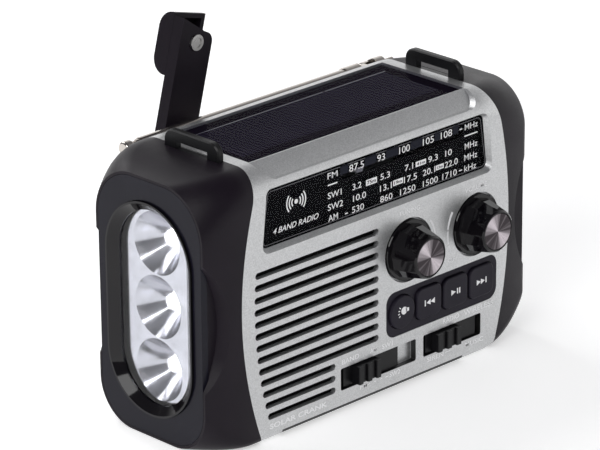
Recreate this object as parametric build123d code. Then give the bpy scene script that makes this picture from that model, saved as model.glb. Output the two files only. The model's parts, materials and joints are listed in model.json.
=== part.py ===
"""Emergency radio with a three-bowl lamp, a solar panel, a hand crank and a telescopic antenna.

Millimetres, +Z up, origin on the resting plane under the middle of the case.
The lamp end is -X and the control face is -Y. Each function makes one sub-part.
"""

import os
from math import asin, cos, pi, radians, sin, sqrt

from build123d import *

# ---- Case: two silver shells between two soft-touch end caps ----
CASE_HALF_DEPTH = 33.0
CASE_TOP = 106.2
CASE_BOTTOM = 0.7
TOP_CORNER_R = 12.0
BOTTOM_CORNER_R = 2.5
SMALLEST_R = 0.3            # where a wall would use up a corner's whole radius
WALL = 2.2
ROOF = 4.0                  # the top wall also holds the solar panel's tray
LEFT_TAPER_START = 66.0     # where the case starts to narrow towards its ends
RIGHT_TAPER_START = 56.0
TAPER_END = 86.5            # where the end sizes below hold
LEFT_END = 86.5
RIGHT_END = 85.5
END_HALF_DEPTH = CASE_HALF_DEPTH - 4.5
END_TOP = CASE_TOP - 3.8
LEFT_END_BOTTOM = 0.3
RIGHT_END_BOTTOM = 6.0
END_CORNER_R = 20.0
END_BOTTOM_R = 17.0
RIGHT_END_ROUND = 5.0
SEAM_R = 152.6              # the silver section's barrel-shaped ends
SEAM_MID_X = 71.5
SEAM_MID_Z = CASE_TOP / 2 - 0.1
FIT = 0.15                  # clearance between pieces that are assembled by hand
MOVE = 0.35                 # clearance beside a piece that slides or turns
SHAFT_FIT = 0.05            # radial clearance of a running shaft
PRESS_FIT = 0.02            # radial clearance of a shaft that is pressed in
THROUGH = 60.0              # a reach that passes right through a face of the case
ABOVE = CASE_TOP + 20.0     # a height clear of everything

# ---- Dark strips along the silver section's lower edges ----
STRIP_LEFT = -52.0
STRIP_RIGHT = 45.0
STRIP_TOP = 2.8
STRIP_WIDTH = 2.6
STRIP_T = 1.0

# ---- Finger scallops in the end caps ----
SCALLOP_Z = 51.0
SCALLOP_HALF_LENGTH = 28.0
SCALLOP_REACH = 10.5
SCALLOP_FLOOR_Y = CASE_HALF_DEPTH - 6.1
SCALLOP_CHAMFER = 2.6
SCALLOP_WALL_X = 13.5       # how far in from the end the wall behind a scallop starts

# ---- Lamp in the left end ----
LAMP_Z = 51.3
LAMP_PITCH = 25.0
BEZEL_T = 3.0
BEZEL_INSET = 1.2
RING_OUTER_HALF = 22.8
RING_OUTER_LENGTH = 83.8
RING_INNER_HALF = 18.1
RING_INNER_LENGTH = 76.3
RING_PROUD = 1.0
RING_DEPTH = 1.7
LENS_T = 1.5
BOWL_R = 12.2
BOWL_THROAT_R = 4.2
BOWL_DEPTH = 11.0
BOWL_WALL = 1.2
LED_R = 2.5

# ---- Solar panel ----
PANEL_LENGTH = 112.9
PANEL_WIDTH = 42.8
PANEL_T = 1.8
CELL_T = 0.8

# ---- Strap loops ----
LOOP_X = 63.35
LOOP_T = 2.9
LOOP_WIDTH = 29.0
LOOP_TOP = CASE_TOP + 6.8
LOOP_SLOT_WIDTH = 17.0
LOOP_SLOT_TOP = CASE_TOP + 2.7
LOOP_ROOT_DEPTH = 3.0
LOOP_CORNER_R = 4.5

# ---- Hand hollow along the top front edge ----
HOLLOW_HALF_LENGTH = 57.0
HOLLOW_END_R = 7.0
HOLLOW_LEDGE_Z = CASE_TOP - 5.2
HOLLOW_DEPTH = 1.8

# ---- Dial ----
DIAL_BOTTOM = CASE_TOP - 30.4
DIAL_TOP = CASE_TOP - 8.4
DIAL_HALF_BOTTOM = 59.8
DIAL_HALF_TOP = 57.2
DIAL_CORNER_R = 2.5
DIAL_BEVEL = 1.8
DIAL_LAP = 1.2              # how far the window reaches behind the opening's edge
WINDOW_T = 1.2
SCALE_T = 1.0
POINTER_Z = CASE_TOP - 14.0
POINTER_SLOT_LEFT = -16.9
POINTER_SLOT_RIGHT = 48.0
POINTER_SLOT_HEIGHT = 2.6
POINTER_X = -7.2
POINTER_W = 3.4
CORD_D = 0.8
DRUM_R = 19.0
DRUM_T = 3.0
DRUM_Y = 12.5 - CASE_HALF_DEPTH
GUIDE_R = 2.5
GUIDE_X = 57.0

# ---- Speaker and its slots ----
SLOT_COUNT = 13
SLOT_PITCH = 4.76
SLOT_TOP_Z = 67.2
SLOT_H = 2.6
SLOT_RIGHT = -1.3
SLOT_RIGHT_SHORT = -24.3
SLOT_LONG_ROWS = 10
SLOT_MARGIN = 6.0           # from a slot's left end to the silver section's end
SPEAKER_X = -33.5
SPEAKER_Z = 40.5
SPEAKER_R = 28.5
SPEAKER_DEPTH = 9.0
CONE_R = 25.0
MAGNET_R = 13.0
MAGNET_T = 7.0

# ---- Knobs ----
TUNING_X = 15.0
VOLUME_X = 52.0
KNOB_Z = 55.1
KNOB_WELL_R = 12.8
KNOB_WELL_DEPTH = 3.0
KNOB_WELL_WALL = 1.0
KNOB_WELL_FLOOR = 1.6
KNOB_SKIRT_R = 12.0
KNOB_WAIST_R = 10.2
KNOB_TIP_R = 8.4
KNOB_DISC_R = 7.3
KNOB_TIP_Y = -CASE_HALF_DEPTH - 11.5
KNOB_FACETS = 12
SHAFT_R = 3.0

# ---- Key panel ----
PANEL_KEYS_LEFT = 2.8
PANEL_KEYS_RIGHT = 64.0
PANEL_KEYS_BOTTOM = 21.8
PANEL_KEYS_TOP = 40.1
PANEL_KEYS_R = 4.5
KEY_Z = 31.2
KEY_W = 13.5
KEY_H = 12.6
KEY_R = 3.0
KEY_PITCH = 14.5
KEY_FIRST_X = 25.4
LAMP_KEY_X = 10.9
LAMP_KEY_R = 6.6
KEY_PROUD = 1.0
KEY_TRAVEL = 0.8

# ---- Slide switches ----
SWITCH_BOTTOM = 8.7
SWITCH_TOP = 17.6
SWITCH_FLOOR_Y = 2.8 - CASE_HALF_DEPTH
SWITCH_BED = 1.6            # the plastic behind and beside the switch windows
SLIDER_T = 1.3
THUMB_PROUD = 4.0
BAND_WINDOW = (-21.5, 19.0)
BAND_PLATE = (-19.0, 10.2)
BAND_THUMB = (-14.3, -2.5)
MODE_WINDOW = (23.0, 55.0)
MODE_PLATE = (25.3, 53.0)
MODE_THUMB = (28.6, 41.5)
STEM_W = 3.0
STEM_H = 2.0
BAND_TRAVEL = 8.2
MODE_TRAVEL = 1.8

# ---- Circuit board and battery ----
BOARD_Y = 11.0 - CASE_HALF_DEPTH
BOARD_T = 1.6
BOARD_LEFT = 1.0
BOARD_RIGHT = 64.0
BOARD_BOTTOM = 7.0
BOARD_TOP = 72.0
BATTERY_X = 22.0
BATTERY_Y = CASE_HALF_DEPTH - 12.4
BATTERY_Z = 36.0
BATTERY_LENGTH = 51.0
BATTERY_R = 7.2
BATTERY_CELLS = 3
DOOR_W = 62.0
DOOR_BOTTOM = 17.0
DOOR_TOP = 60.0
DOOR_T = 1.4
DOOR_TRAVEL = 10.0
DOOR_FRAME = 2.0            # the thickened frame round the door
DOOR_LAP = 4.0              # how far the door covers the frame
DOOR_FRAME_DEPTH = 4.4

# ---- Crank ----
CRANK_R = 59.0
CRANK_LEAN = 14.8           # the arm's lean at rest, from upright towards +X
CRANK_X = -43.0
CRANK_Z = 74.4
ARM_W = 16.6
ARM_T = 5.2
ARM_FRONT_Y = CASE_HALF_DEPTH + 3.0
ARM_WALL = 1.8
AXLE_R = 4.0
HUB_R = 11.0
PIN_R = 2.0
PIN_HEAD_R = 3.1
GRIP_W = 16.0
GRIP_UP = 9.9
GRIP_DOWN = 14.0
GRIP_DEPTH = 7.2
GRIP_WALL = 1.8

# ---- Crank gears: module, teeth and widths ----
GEAR_MODULE = 0.8
CRANK_TEETH = 48
IDLER_PINION_TEETH = 12
IDLER_TEETH = 40
DYNAMO_TEETH = 10
GEAR_T = 3.0
CRANK_GEAR_Y = CASE_HALF_DEPTH - 14.0
IDLER_GEAR_Y = CASE_HALF_DEPTH - 18.5
IDLER_ANGLE = -50.0         # from the crank axle to the idler, from +X towards +Z
DYNAMO_ANGLE = -120.0
DYNAMO_R = 13.0
DYNAMO_L = 16.0
DYNAMO_BACK_Y = CASE_HALF_DEPTH - 22.5
FRAME_T = 1.2
FRAME_BOSS_R = 9.0

# ---- Antenna ----
ANTENNA_Y = CASE_HALF_DEPTH - 3.0
ANTENNA_Z = CASE_TOP - 4.6
ANTENNA_HINGE_X = 56.0
ANTENNA_TIP_X = -71.0
TUBE_R = (2.8, 2.4, 2.0, 1.6)
TUBE_WALL = 0.3
TIP_R = 3.0
TIP_L = 4.0
KNUCKLE_R = 3.3
TONGUE_T = 2.4
EAR_T = 1.3
EAR_R = 1.9
HINGE_PIN_R = 0.9
STUD_R = 1.5
STUD_LENGTH = 6.0
FOOT_START = 3.9            # the swivel's round foot, beyond the hinge
FOOT_END = 8.6
LEDGE_Y = CASE_HALF_DEPTH - 7.1
LEDGE_Z = CASE_TOP - 8.6

# ---- Port cover and sockets ----
PORT_X = 46.0
PORT_Z = 78.0
PORT_W = 27.0
PORT_H = 12.0
PORT_T = 1.4
PORT_CORNER_R = 1.8
PORT_KNUCKLE_R = 0.9
PORT_KNUCKLE_HALF = 3.8
PORT_OPENING = (-11.0, 9.0)
PORT_OPENING_H = 9.0
SOCKET_DEPTH = 9.0

# ---- Screws and feet ----
FOOT_X = 50.0
FOOT_Y = 12.0
FOOT_R = 5.0
FOOT_SEAT = 1.0             # how deep a foot is let into the shell
SCREW_HEAD_R = 2.6
SCREW_R = 1.3
SCREW_LENGTH = 14.0

INNER_Y = CASE_HALF_DEPTH - WALL


# ---------------------------------------------------------------- helpers
def front(sketch, y_front, y_back):
    """Extrude a sketch drawn in X and Z between two depths."""
    plane = Plane(origin=(0, y_back, 0), x_dir=(1, 0, 0), z_dir=(0, -1, 0))
    return extrude(plane * sketch, amount=y_back - y_front)


def side(sketch, x_low, x_high):
    """Extrude a sketch drawn in Y and Z between two lengths."""
    plane = Plane(origin=(x_low, 0, 0), x_dir=(0, 1, 0), z_dir=(1, 0, 0))
    return extrude(plane * sketch, amount=x_high - x_low)


def flat(sketch, z_low, z_high):
    """Extrude a sketch drawn in X and Y between two heights."""
    return extrude(Plane.XY.offset(z_low) * sketch, amount=z_high - z_low)


def block(x, y, z):
    """A box between pairs of limits."""
    size = (x[1] - x[0], y[1] - y[0], z[1] - z[0])
    return Pos((x[0] + x[1]) / 2, (y[0] + y[1]) / 2, (z[0] + z[1]) / 2) * Box(*size)


def rod_y(radius, x, z, y_low, y_high):
    """A cylinder along Y."""
    return front(Pos(x, z) * Circle(radius), y_low, y_high)


def rod_x(radius, y, z, x_low, x_high):
    """A cylinder along X."""
    return side(Pos(y, z) * Circle(radius), x_low, x_high)


def oblong(x_low, x_high, z_low, z_high, radius):
    """A rounded rectangle from its limits."""
    middle = Pos((x_low + x_high) / 2, (z_low + z_high) / 2)
    return middle * RectangleRounded(x_high - x_low, z_high - z_low, radius)


def stadium(half_width, length):
    """The lamp's upright outline, drawn in Y and Z."""
    return Pos(0, LAMP_Z) * RectangleRounded(2 * half_width, length, half_width - 0.01)


def section(half_depth, bottom, top, top_r, bottom_r):
    """The case's outline, drawn in Y and Z."""
    outline = Pos(0, (bottom + top) / 2) * Rectangle(2 * half_depth, top - bottom)
    outline = fillet(outline.vertices().group_by(Axis.Y)[-1], top_r)
    return fillet(outline.vertices().group_by(Axis.Y)[0], bottom_r)


def taper(x, inset=0.0, roof=0.0):
    """The outline at x along the case, moved inwards by a wall."""
    start, end_bottom = LEFT_TAPER_START, LEFT_END_BOTTOM
    if x > 0:
        start, end_bottom = RIGHT_TAPER_START, RIGHT_END_BOTTOM
    share = max(0.0, (abs(x) - start) / (TAPER_END - start)) ** 2

    def between(at_case, at_end):
        return at_case + (at_end - at_case) * share

    return section(
        between(CASE_HALF_DEPTH, END_HALF_DEPTH) - inset,
        between(CASE_BOTTOM, end_bottom) + inset,
        between(CASE_TOP, END_TOP) - max(inset, roof),
        between(TOP_CORNER_R, END_CORNER_R) - inset,
        max(between(BOTTOM_CORNER_R, END_BOTTOM_R) - inset, SMALLEST_R),
    )


def outer_form():
    """The whole case as one solid, without its openings."""
    middle = side(taper(0), -LEFT_TAPER_START, RIGHT_TAPER_START)
    left = loft([Plane.YZ.offset(x) * taper(x) for x in (-LEFT_TAPER_START, -73, -80, -LEFT_END)])
    right = loft([Plane.YZ.offset(x) * taper(x) for x in (RIGHT_TAPER_START, 66, 76, RIGHT_END)])
    right = fillet(right.faces().sort_by(Axis.X)[-1].edges(), RIGHT_END_ROUND)
    return middle + left + right


def inner_form():
    """The hollow inside the case and its end caps."""
    middle = side(taper(0, WALL, ROOF), -LEFT_TAPER_START, RIGHT_TAPER_START)
    left = loft([Plane.YZ.offset(x) * taper(x, WALL, ROOF) for x in (-LEFT_TAPER_START, -73, -80)])
    right = loft([Plane.YZ.offset(x) * taper(x, WALL, ROOF) for x in (RIGHT_TAPER_START, 68, 80)])
    hollow = middle + left + right
    hollow -= block((-90, 90), (LEDGE_Y - WALL, 60), (LEDGE_Z - WALL, ABOVE))
    reach = SCALLOP_HALF_LENGTH + WALL
    for end in ((-90, SCALLOP_WALL_X - LEFT_END), (RIGHT_END - SCALLOP_WALL_X, 90)):
        for depth in ((-60, WALL - SCALLOP_FLOOR_Y), (SCALLOP_FLOOR_Y - WALL, 60)):
            hollow -= block(end, depth, (SCALLOP_Z - reach, SCALLOP_Z + reach))
    return hollow


def seam_x(z):
    """Half the silver section's length at a height."""
    return SEAM_MID_X - SEAM_R + sqrt(SEAM_R**2 - (z - SEAM_MID_Z) ** 2)


def seam_form():
    """Everything between the silver section's two barrel-shaped ends."""
    ends = []
    for way in (-1, 1):
        centre = way * (SEAM_MID_X - SEAM_R)
        ends.append(front(Pos(centre, SEAM_MID_Z) * Circle(SEAM_R), -50, 50))
    return ends[0] & ends[1]


def antenna_shelf():
    """The step in the top back edge where the antenna lies, open at the end it pulls out of."""
    low, high = ANTENNA_TIP_X - TIP_L, ANTENNA_HINGE_X + FOOT_END + 0.4
    step = block((low, high), (LEDGE_Y, THROUGH), (LEDGE_Z, ABOVE))
    way_out = rod_x(TUBE_R[0] + MOVE, ANTENNA_Y, ANTENNA_Z, -LEFT_END - 1, low + 1)
    return step + way_out


def dial_outline(grow=0.0):
    """The dial's outline, wider at the bottom."""
    corners = [
        (-DIAL_HALF_BOTTOM - grow, DIAL_BOTTOM - grow),
        (DIAL_HALF_BOTTOM + grow, DIAL_BOTTOM - grow),
        (DIAL_HALF_TOP + grow, DIAL_TOP + grow),
        (-DIAL_HALF_TOP - grow, DIAL_TOP + grow),
    ]
    outline = make_face(Polyline(*corners, close=True))
    return fillet(outline.vertices(), DIAL_CORNER_R + grow / 2)


def slot_rows():
    """Each speaker slot's left end, right end and height."""
    for row in range(SLOT_COUNT):
        z = SLOT_TOP_Z - SLOT_PITCH * row
        right = SLOT_RIGHT if row < SLOT_LONG_ROWS else SLOT_RIGHT_SHORT
        yield SLOT_MARGIN - seam_x(z), right, z


def speaker_slot(left, right, z):
    """One slot: its upper half slopes inwards, its lower half is open."""
    outline = oblong(left, right, z - SLOT_H / 2, z + SLOT_H / 2, SLOT_H / 2 - 0.01)
    hole = front(outline, -CASE_HALF_DEPTH - 1, -INNER_Y + 0.8)
    slope = Polyline(
        (-CASE_HALF_DEPTH - 1.5, z - SLOT_H),
        (-CASE_HALF_DEPTH - 1.5, z + SLOT_H),
        (-CASE_HALF_DEPTH, z + SLOT_H / 2),
        (-INNER_Y + 0.5, z),
        (-INNER_Y + 0.5, z - SLOT_H),
        close=True,
    )
    return hole & side(make_face(slope), left - 1, right + 1)


def hollow_cut():
    """The rounded-ended hollow along the top front edge."""
    corner_y = -CASE_HALF_DEPTH + TOP_CORNER_R
    corner_z = CASE_TOP - TOP_CORNER_R
    panel_y = -PANEL_WIDTH / 2 - 0.4
    ledge = asin((HOLLOW_LEDGE_Z - corner_z) / TOP_CORNER_R)
    deep_r = TOP_CORNER_R - HOLLOW_DEPTH
    foot = (corner_y - deep_r * cos(ledge), corner_z + deep_r * sin(ledge))
    lip = (corner_y - 1.3 * TOP_CORNER_R * cos(ledge), corner_z + 1.3 * TOP_CORNER_R * sin(ledge))
    middle = (corner_y - (deep_r + 0.3) * cos(radians(68)), corner_z + (deep_r + 0.3) * sin(radians(68)))
    roll = ThreePointArc(foot, middle, (panel_y, CASE_TOP - 0.2))
    rest = Polyline((panel_y, CASE_TOP - 0.2), (panel_y, CASE_TOP + 9), (lip[0], CASE_TOP + 9), lip, foot)
    profile = make_face(roll + rest)
    cut = side(profile, -HOLLOW_HALF_LENGTH, HOLLOW_HALF_LENGTH)
    plan = oblong(
        -HOLLOW_HALF_LENGTH, HOLLOW_HALF_LENGTH, HOLLOW_LEDGE_Z - 0.3, HOLLOW_LEDGE_Z + 40, HOLLOW_END_R
    )
    return cut & front(plan, -45, 0)


def scallop(end):
    """A crescent recess beside one end, on the front and the back."""
    way = 1 if end > 0 else -1
    radius = (SCALLOP_HALF_LENGTH**2 + SCALLOP_REACH**2) / (2 * SCALLOP_REACH)
    centre = end + way * (radius - SCALLOP_REACH)
    depth = CASE_HALF_DEPTH + 2 - SCALLOP_FLOOR_Y
    slope = SCALLOP_CHAMFER / (CASE_HALF_DEPTH - SCALLOP_FLOOR_Y)
    cone = Cone(radius - SCALLOP_CHAMFER, radius - SCALLOP_CHAMFER + depth * slope, depth)
    cuts = []
    for face in (-1, 1):
        at = Pos(centre, face * (SCALLOP_FLOOR_Y + depth / 2), SCALLOP_Z)
        cuts.append(at * Rot(face * -90, 0, 0) * cone)
    return cuts[0] + cuts[1]


def well(x):
    """The round well that a knob sits in, with its shaft hole."""
    floor = -CASE_HALF_DEPTH + KNOB_WELL_DEPTH
    shaft_hole = rod_y(SHAFT_R + MOVE, x, KNOB_Z, -THROUGH, floor + 10)
    return rod_y(KNOB_WELL_R, x, KNOB_Z, -THROUGH, floor) + shaft_hole


def slider_stem_slot(plate, low, high):
    """The slot that a slide switch's stem moves in."""
    middle = (plate[0] + plate[1]) / 2
    z = (SWITCH_BOTTOM + SWITCH_TOP) / 2
    reach = STEM_W / 2 + MOVE
    depth = (-CASE_HALF_DEPTH, SWITCH_FLOOR_Y + 6)
    return block((middle + low - reach, middle + high + reach), depth, (z - 1.4, z + 1.4))


def switch_window(window):
    """A slide switch's sunk window."""
    outline = oblong(window[0], window[1], SWITCH_BOTTOM, SWITCH_TOP, 0.8)
    return front(outline, -THROUGH, SWITCH_FLOOR_Y)


def door_outline(grow, radius):
    """The battery door's outline, larger or smaller by a margin."""
    half = DOOR_W / 2 + grow
    return oblong(BATTERY_X - half, BATTERY_X + half, DOOR_BOTTOM - grow, DOOR_TOP + grow, radius)


def base_strips():
    """The dark strips let into the silver section's lower edges, front and back."""
    skin = side(taper(0), STRIP_LEFT, STRIP_RIGHT) - side(taper(0, STRIP_T), STRIP_LEFT, STRIP_RIGHT)
    strips = []
    for way in (-1, 1):
        edge = sorted((way * CASE_HALF_DEPTH, way * (CASE_HALF_DEPTH - STRIP_WIDTH)))
        strips.append(skin & block((STRIP_LEFT, STRIP_RIGHT), edge, (CASE_BOTTOM, STRIP_TOP)))
    return strips


# ---------------------------------------------------------------- case
def silver_body():
    """The silver section before it is divided into front and back."""
    body = outer_form() & seam_form()
    body -= inner_form()
    well_back = -CASE_HALF_DEPTH + KNOB_WELL_DEPTH + KNOB_WELL_FLOOR
    for x in (TUNING_X, VOLUME_X):
        body += rod_y(KNOB_WELL_R + KNOB_WELL_WALL, x, KNOB_Z, -INNER_Y - 0.5, well_back)
    body += block(
        (BAND_WINDOW[0] - SWITCH_BED, MODE_WINDOW[1] + SWITCH_BED),
        (-INNER_Y - 0.5, SWITCH_FLOOR_Y + SWITCH_BED),
        (SWITCH_BOTTOM - SWITCH_BED, SWITCH_TOP + SWITCH_BED),
    )
    body += front(door_outline(DOOR_FRAME, 2), CASE_HALF_DEPTH - DOOR_FRAME_DEPTH, INNER_Y + 0.5)
    body -= front(door_outline(-DOOR_LAP, 2), 20, THROUGH)
    for strip in base_strips():
        body -= strip
    for x, y in foot_places():
        body -= Pos(x, y) * flat(Circle(FOOT_R), 0, CASE_BOTTOM + FOOT_SEAT)
    return body - loop_root(-LOOP_X, FIT / 2) - loop_root(LOOP_X, FIT / 2)


def front_shell(body):
    """The silver front shell with every opening of the control face."""
    shell = body & block((-90, 90), (-60, 0), (-10, ABOVE))
    shell -= block(
        (-PANEL_LENGTH / 2 - FIT, PANEL_LENGTH / 2 + FIT),
        (-PANEL_WIDTH / 2 - FIT, PANEL_WIDTH / 2 + FIT),
        (CASE_TOP - PANEL_T, ABOVE),
    )
    bevel_front = Plane(origin=(0, -CASE_HALF_DEPTH - 0.6, 0), x_dir=(1, 0, 0), z_dir=(0, -1, 0))
    bevel_back = Plane(origin=(0, -INNER_Y + 0.1, 0), x_dir=(1, 0, 0), z_dir=(0, -1, 0))
    shell -= loft([bevel_front * dial_outline(DIAL_BEVEL), bevel_back * dial_outline()])
    shell -= front(dial_outline(DIAL_LAP + FIT), -INNER_Y, -INNER_Y + 6)
    shell -= rod_y(SPEAKER_R + FIT, SPEAKER_X, SPEAKER_Z, -INNER_Y, -INNER_Y + 6)
    for left, right, z in slot_rows():
        shell -= speaker_slot(left, right, z)
    shell -= hollow_cut()
    shell -= well(TUNING_X) + well(VOLUME_X)
    shell -= front(
        oblong(PANEL_KEYS_LEFT, PANEL_KEYS_RIGHT, PANEL_KEYS_BOTTOM, PANEL_KEYS_TOP, PANEL_KEYS_R),
        -THROUGH,
        -INNER_Y + 3,
    )
    shell -= front(key_flange(FIT), -INNER_Y, -INNER_Y + 3)
    shell -= switch_window(BAND_WINDOW) + switch_window(MODE_WINDOW)
    shell -= slider_stem_slot(BAND_PLATE, 0, BAND_TRAVEL)
    shell -= slider_stem_slot(MODE_PLATE, -MODE_TRAVEL, MODE_TRAVEL)
    return shell


def back_shell(body):
    """The silver back shell with the crank, door, port and antenna openings."""
    shell = body & block((-90, 90), (0, 60), (-10, ABOVE))
    shell -= block(
        (-PANEL_LENGTH / 2 - FIT, PANEL_LENGTH / 2 + FIT),
        (-PANEL_WIDTH / 2 - FIT, PANEL_WIDTH / 2 + FIT),
        (CASE_TOP - PANEL_T, ABOVE),
    )
    shell -= antenna_shelf()
    shell += rod_y(AXLE_R + 3, CRANK_X, CRANK_Z, INNER_Y - 6.3, INNER_Y + 0.5)
    shell -= rod_y(AXLE_R + SHAFT_FIT, CRANK_X, CRANK_Z, 10, 50)
    recess_y = CASE_HALF_DEPTH - DOOR_T - FIT
    shell -= block(
        (BATTERY_X - DOOR_W / 2 - MOVE, BATTERY_X + DOOR_W / 2 + MOVE),
        (recess_y, THROUGH),
        (DOOR_BOTTOM - DOOR_TRAVEL - MOVE, DOOR_TOP + MOVE),
    )
    shell -= front(port_outline(MOVE), CASE_HALF_DEPTH - PORT_T - FIT, THROUGH)
    shell -= port_knuckle(MOVE)
    opening = oblong(
        PORT_X + PORT_OPENING[0],
        PORT_X + PORT_OPENING[1],
        PORT_Z - PORT_OPENING_H / 2,
        PORT_Z + PORT_OPENING_H / 2,
        1.5,
    )
    shell -= front(opening, 20, THROUGH)
    for x, z in screw_places():
        shell -= rod_y(SCREW_HEAD_R + FIT, x, z, CASE_HALF_DEPTH - 1.4, 50)
        shell -= rod_y(SCREW_R + FIT, x, z, 20, 50)
    return shell


def cap(end_way, outer, inner, seam):
    """One soft-touch end cap."""
    limits = (0, 95) if end_way > 0 else (-95, 0)
    body = (outer & block(limits, (-60, 60), (-10, ABOVE))) - seam - inner
    body -= antenna_shelf()
    end = RIGHT_END if end_way > 0 else -LEFT_END
    body -= scallop(end)
    body -= loop_root(end_way * LOOP_X, FIT / 2)
    foot_end = ANTENNA_HINGE_X + FOOT_END
    return body - rod_x(STUD_R + SHAFT_FIT, ANTENNA_Y, ANTENNA_Z, foot_end, foot_end + STUD_LENGTH + 1)


def left_end_cap(outer, inner, seam):
    """The lamp end's cap, open for the lamp."""
    body = cap(-1, outer, inner, seam)
    pocket = taper(-LEFT_END, BEZEL_INSET - FIT)
    body -= side(pocket, -LEFT_END - 1, -LEFT_END + BEZEL_T)
    window = stadium(RING_OUTER_HALF + 1.5, RING_OUTER_LENGTH + 3)
    return body - side(window, -LEFT_END, -75)


# ---------------------------------------------------------------- straps and feet
def loop_root(x, grow=0.0):
    """The part of a strap loop that is let into the end cap."""
    half = LOOP_T / 2 + grow
    width = LOOP_WIDTH / 2 + grow
    return block((x - half, x + half), (-width, width), (CASE_TOP - LOOP_ROOT_DEPTH, CASE_TOP + 2))


def strap_loop(x):
    """A flat loop for the wrist strap."""
    outline = Pos(0, (LOOP_TOP + CASE_TOP - LOOP_ROOT_DEPTH) / 2) * Rectangle(
        LOOP_WIDTH, LOOP_TOP - CASE_TOP + LOOP_ROOT_DEPTH
    )
    outline = fillet(outline.vertices().group_by(Axis.Y)[-1], LOOP_CORNER_R)
    slot_bottom = CASE_TOP - 0.4
    slot = Pos(0, (LOOP_SLOT_TOP + slot_bottom) / 2) * Rectangle(
        LOOP_SLOT_WIDTH, LOOP_SLOT_TOP - slot_bottom
    )
    loop = side(outline - slot, x - LOOP_T / 2, x + LOOP_T / 2)
    rim = loop.edges().filter_by(GeomType.CIRCLE)
    return chamfer(rim, 0.5)


def foot_places():
    """Where the feet stand."""
    return [(x, y) for x in (-FOOT_X, FOOT_X) for y in (-FOOT_Y, FOOT_Y)]


def rubber_feet():
    """Four feet let into the bottom of the silver section."""
    feet = []
    for x, y in foot_places():
        foot = Pos(x, y) * flat(Circle(FOOT_R), 0, CASE_BOTTOM + FOOT_SEAT)
        feet.append(chamfer(foot.edges().group_by(Axis.Z)[0], CASE_BOTTOM / 2))
    return feet


def screw_places():
    """Where the case screws go in, on the back."""
    return ((-62, 12), (62, 12), (-62, 94), (62, 92))


def case_screws():
    """Four screws that close the case from the back."""
    screws = []
    for x, z in screw_places():
        head = rod_y(SCREW_HEAD_R, x, z, CASE_HALF_DEPTH - 1.4, CASE_HALF_DEPTH - 0.2)
        head -= block((x - 1.6, x + 1.6), (CASE_HALF_DEPTH - 0.9, 40), (z - 0.3, z + 0.3))
        head -= block((x - 0.3, x + 0.3), (CASE_HALF_DEPTH - 0.9, 40), (z - 1.6, z + 1.6))
        back = CASE_HALF_DEPTH - 1.4
        screws.append(head + rod_y(SCREW_R, x, z, back - SCREW_LENGTH, back))
    return screws


# ---------------------------------------------------------------- lamp
def lamp_bezel():
    """The dark face plate around the lamp."""
    plate = side(taper(-LEFT_END, BEZEL_INSET), -LEFT_END, -LEFT_END + BEZEL_T)
    return plate - side(stadium(RING_OUTER_HALF + FIT, RING_OUTER_LENGTH + 2 * FIT), -90, -80)


def lamp_ring():
    """The glossy ring that slopes in to the lens."""
    outer = -LEFT_END - RING_PROUD
    inner = -LEFT_END + RING_DEPTH
    back = -LEFT_END + BEZEL_T + 0.8
    ring = side(stadium(RING_OUTER_HALF, RING_OUTER_LENGTH), outer, back)
    mouth = Plane.YZ.offset(outer) * stadium(RING_OUTER_HALF - 0.8, RING_OUTER_LENGTH - 1.6)
    throat = Plane.YZ.offset(inner) * stadium(RING_INNER_HALF, RING_INNER_LENGTH)
    ring -= loft([mouth, throat])
    ring -= side(stadium(RING_INNER_HALF, RING_INNER_LENGTH), inner - 0.1, back + 1)
    seat = side(stadium(RING_INNER_HALF + 1.6, RING_INNER_LENGTH + 3.2), inner + 0.6, back + 1)
    return ring - seat


def lamp_lens():
    """The clear window behind the ring."""
    face = -LEFT_END + RING_DEPTH + 0.6
    return side(stadium(RING_INNER_HALF + 1.6 - FIT, RING_INNER_LENGTH + 2.9), face, face + LENS_T)


def bowl_heights():
    """The heights of the three lamp bowls."""
    return [LAMP_Z + LAMP_PITCH * step for step in (-1, 0, 1)]


def lamp_reflector():
    """One bright moulding with three bowls."""
    front_x = -LEFT_END + RING_DEPTH + 0.6 + LENS_T + FIT
    body = side(stadium(RING_INNER_HALF + 1.2, RING_INNER_LENGTH + 2), front_x, front_x + 1.2)
    for z in bowl_heights():
        wide = Plane.YZ.offset(front_x) * (Pos(0, z) * Circle(BOWL_R + BOWL_WALL))
        narrow = Plane.YZ.offset(front_x + BOWL_DEPTH) * (Pos(0, z) * Circle(BOWL_THROAT_R + BOWL_WALL))
        body += loft([wide, narrow])
    for z in bowl_heights():
        wide = Plane.YZ.offset(front_x) * (Pos(0, z) * Circle(BOWL_R))
        narrow = Plane.YZ.offset(front_x + BOWL_DEPTH) * (Pos(0, z) * Circle(BOWL_THROAT_R))
        body -= loft([wide, narrow])
    return body


def lamp_leds():
    """Three light-emitting diodes, each a dome on its base plate."""
    base_x = -LEFT_END + RING_DEPTH + 0.6 + LENS_T + FIT + BOWL_DEPTH + FIT
    lights = []
    for z in bowl_heights():
        base = block((base_x, base_x + 1.6), (-8, 8), (z - 8, z + 8))
        stem = rod_x(LED_R, 0, z, base_x - 3, base_x)
        dome = Pos(base_x - 3, 0, z) * Sphere(LED_R)
        lights.append(base + stem + dome)
    return lights


# ---------------------------------------------------------------- solar panel
def solar_cell():
    """The cell laminate in the bottom of the tray."""
    length, width = PANEL_LENGTH, PANEL_WIDTH
    low = CASE_TOP - PANEL_T
    return flat(RectangleRounded(length, width, 0.6), low, low + CELL_T)


def solar_cover():
    """The clear cover over the cell."""
    low = CASE_TOP - PANEL_T + CELL_T
    return flat(RectangleRounded(PANEL_LENGTH, PANEL_WIDTH, 0.6), low, CASE_TOP)


# ---------------------------------------------------------------- dial
def dial_window():
    """The clear window behind the dial opening."""
    return front(dial_outline(DIAL_LAP), -INNER_Y, -INNER_Y + WINDOW_T)


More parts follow.
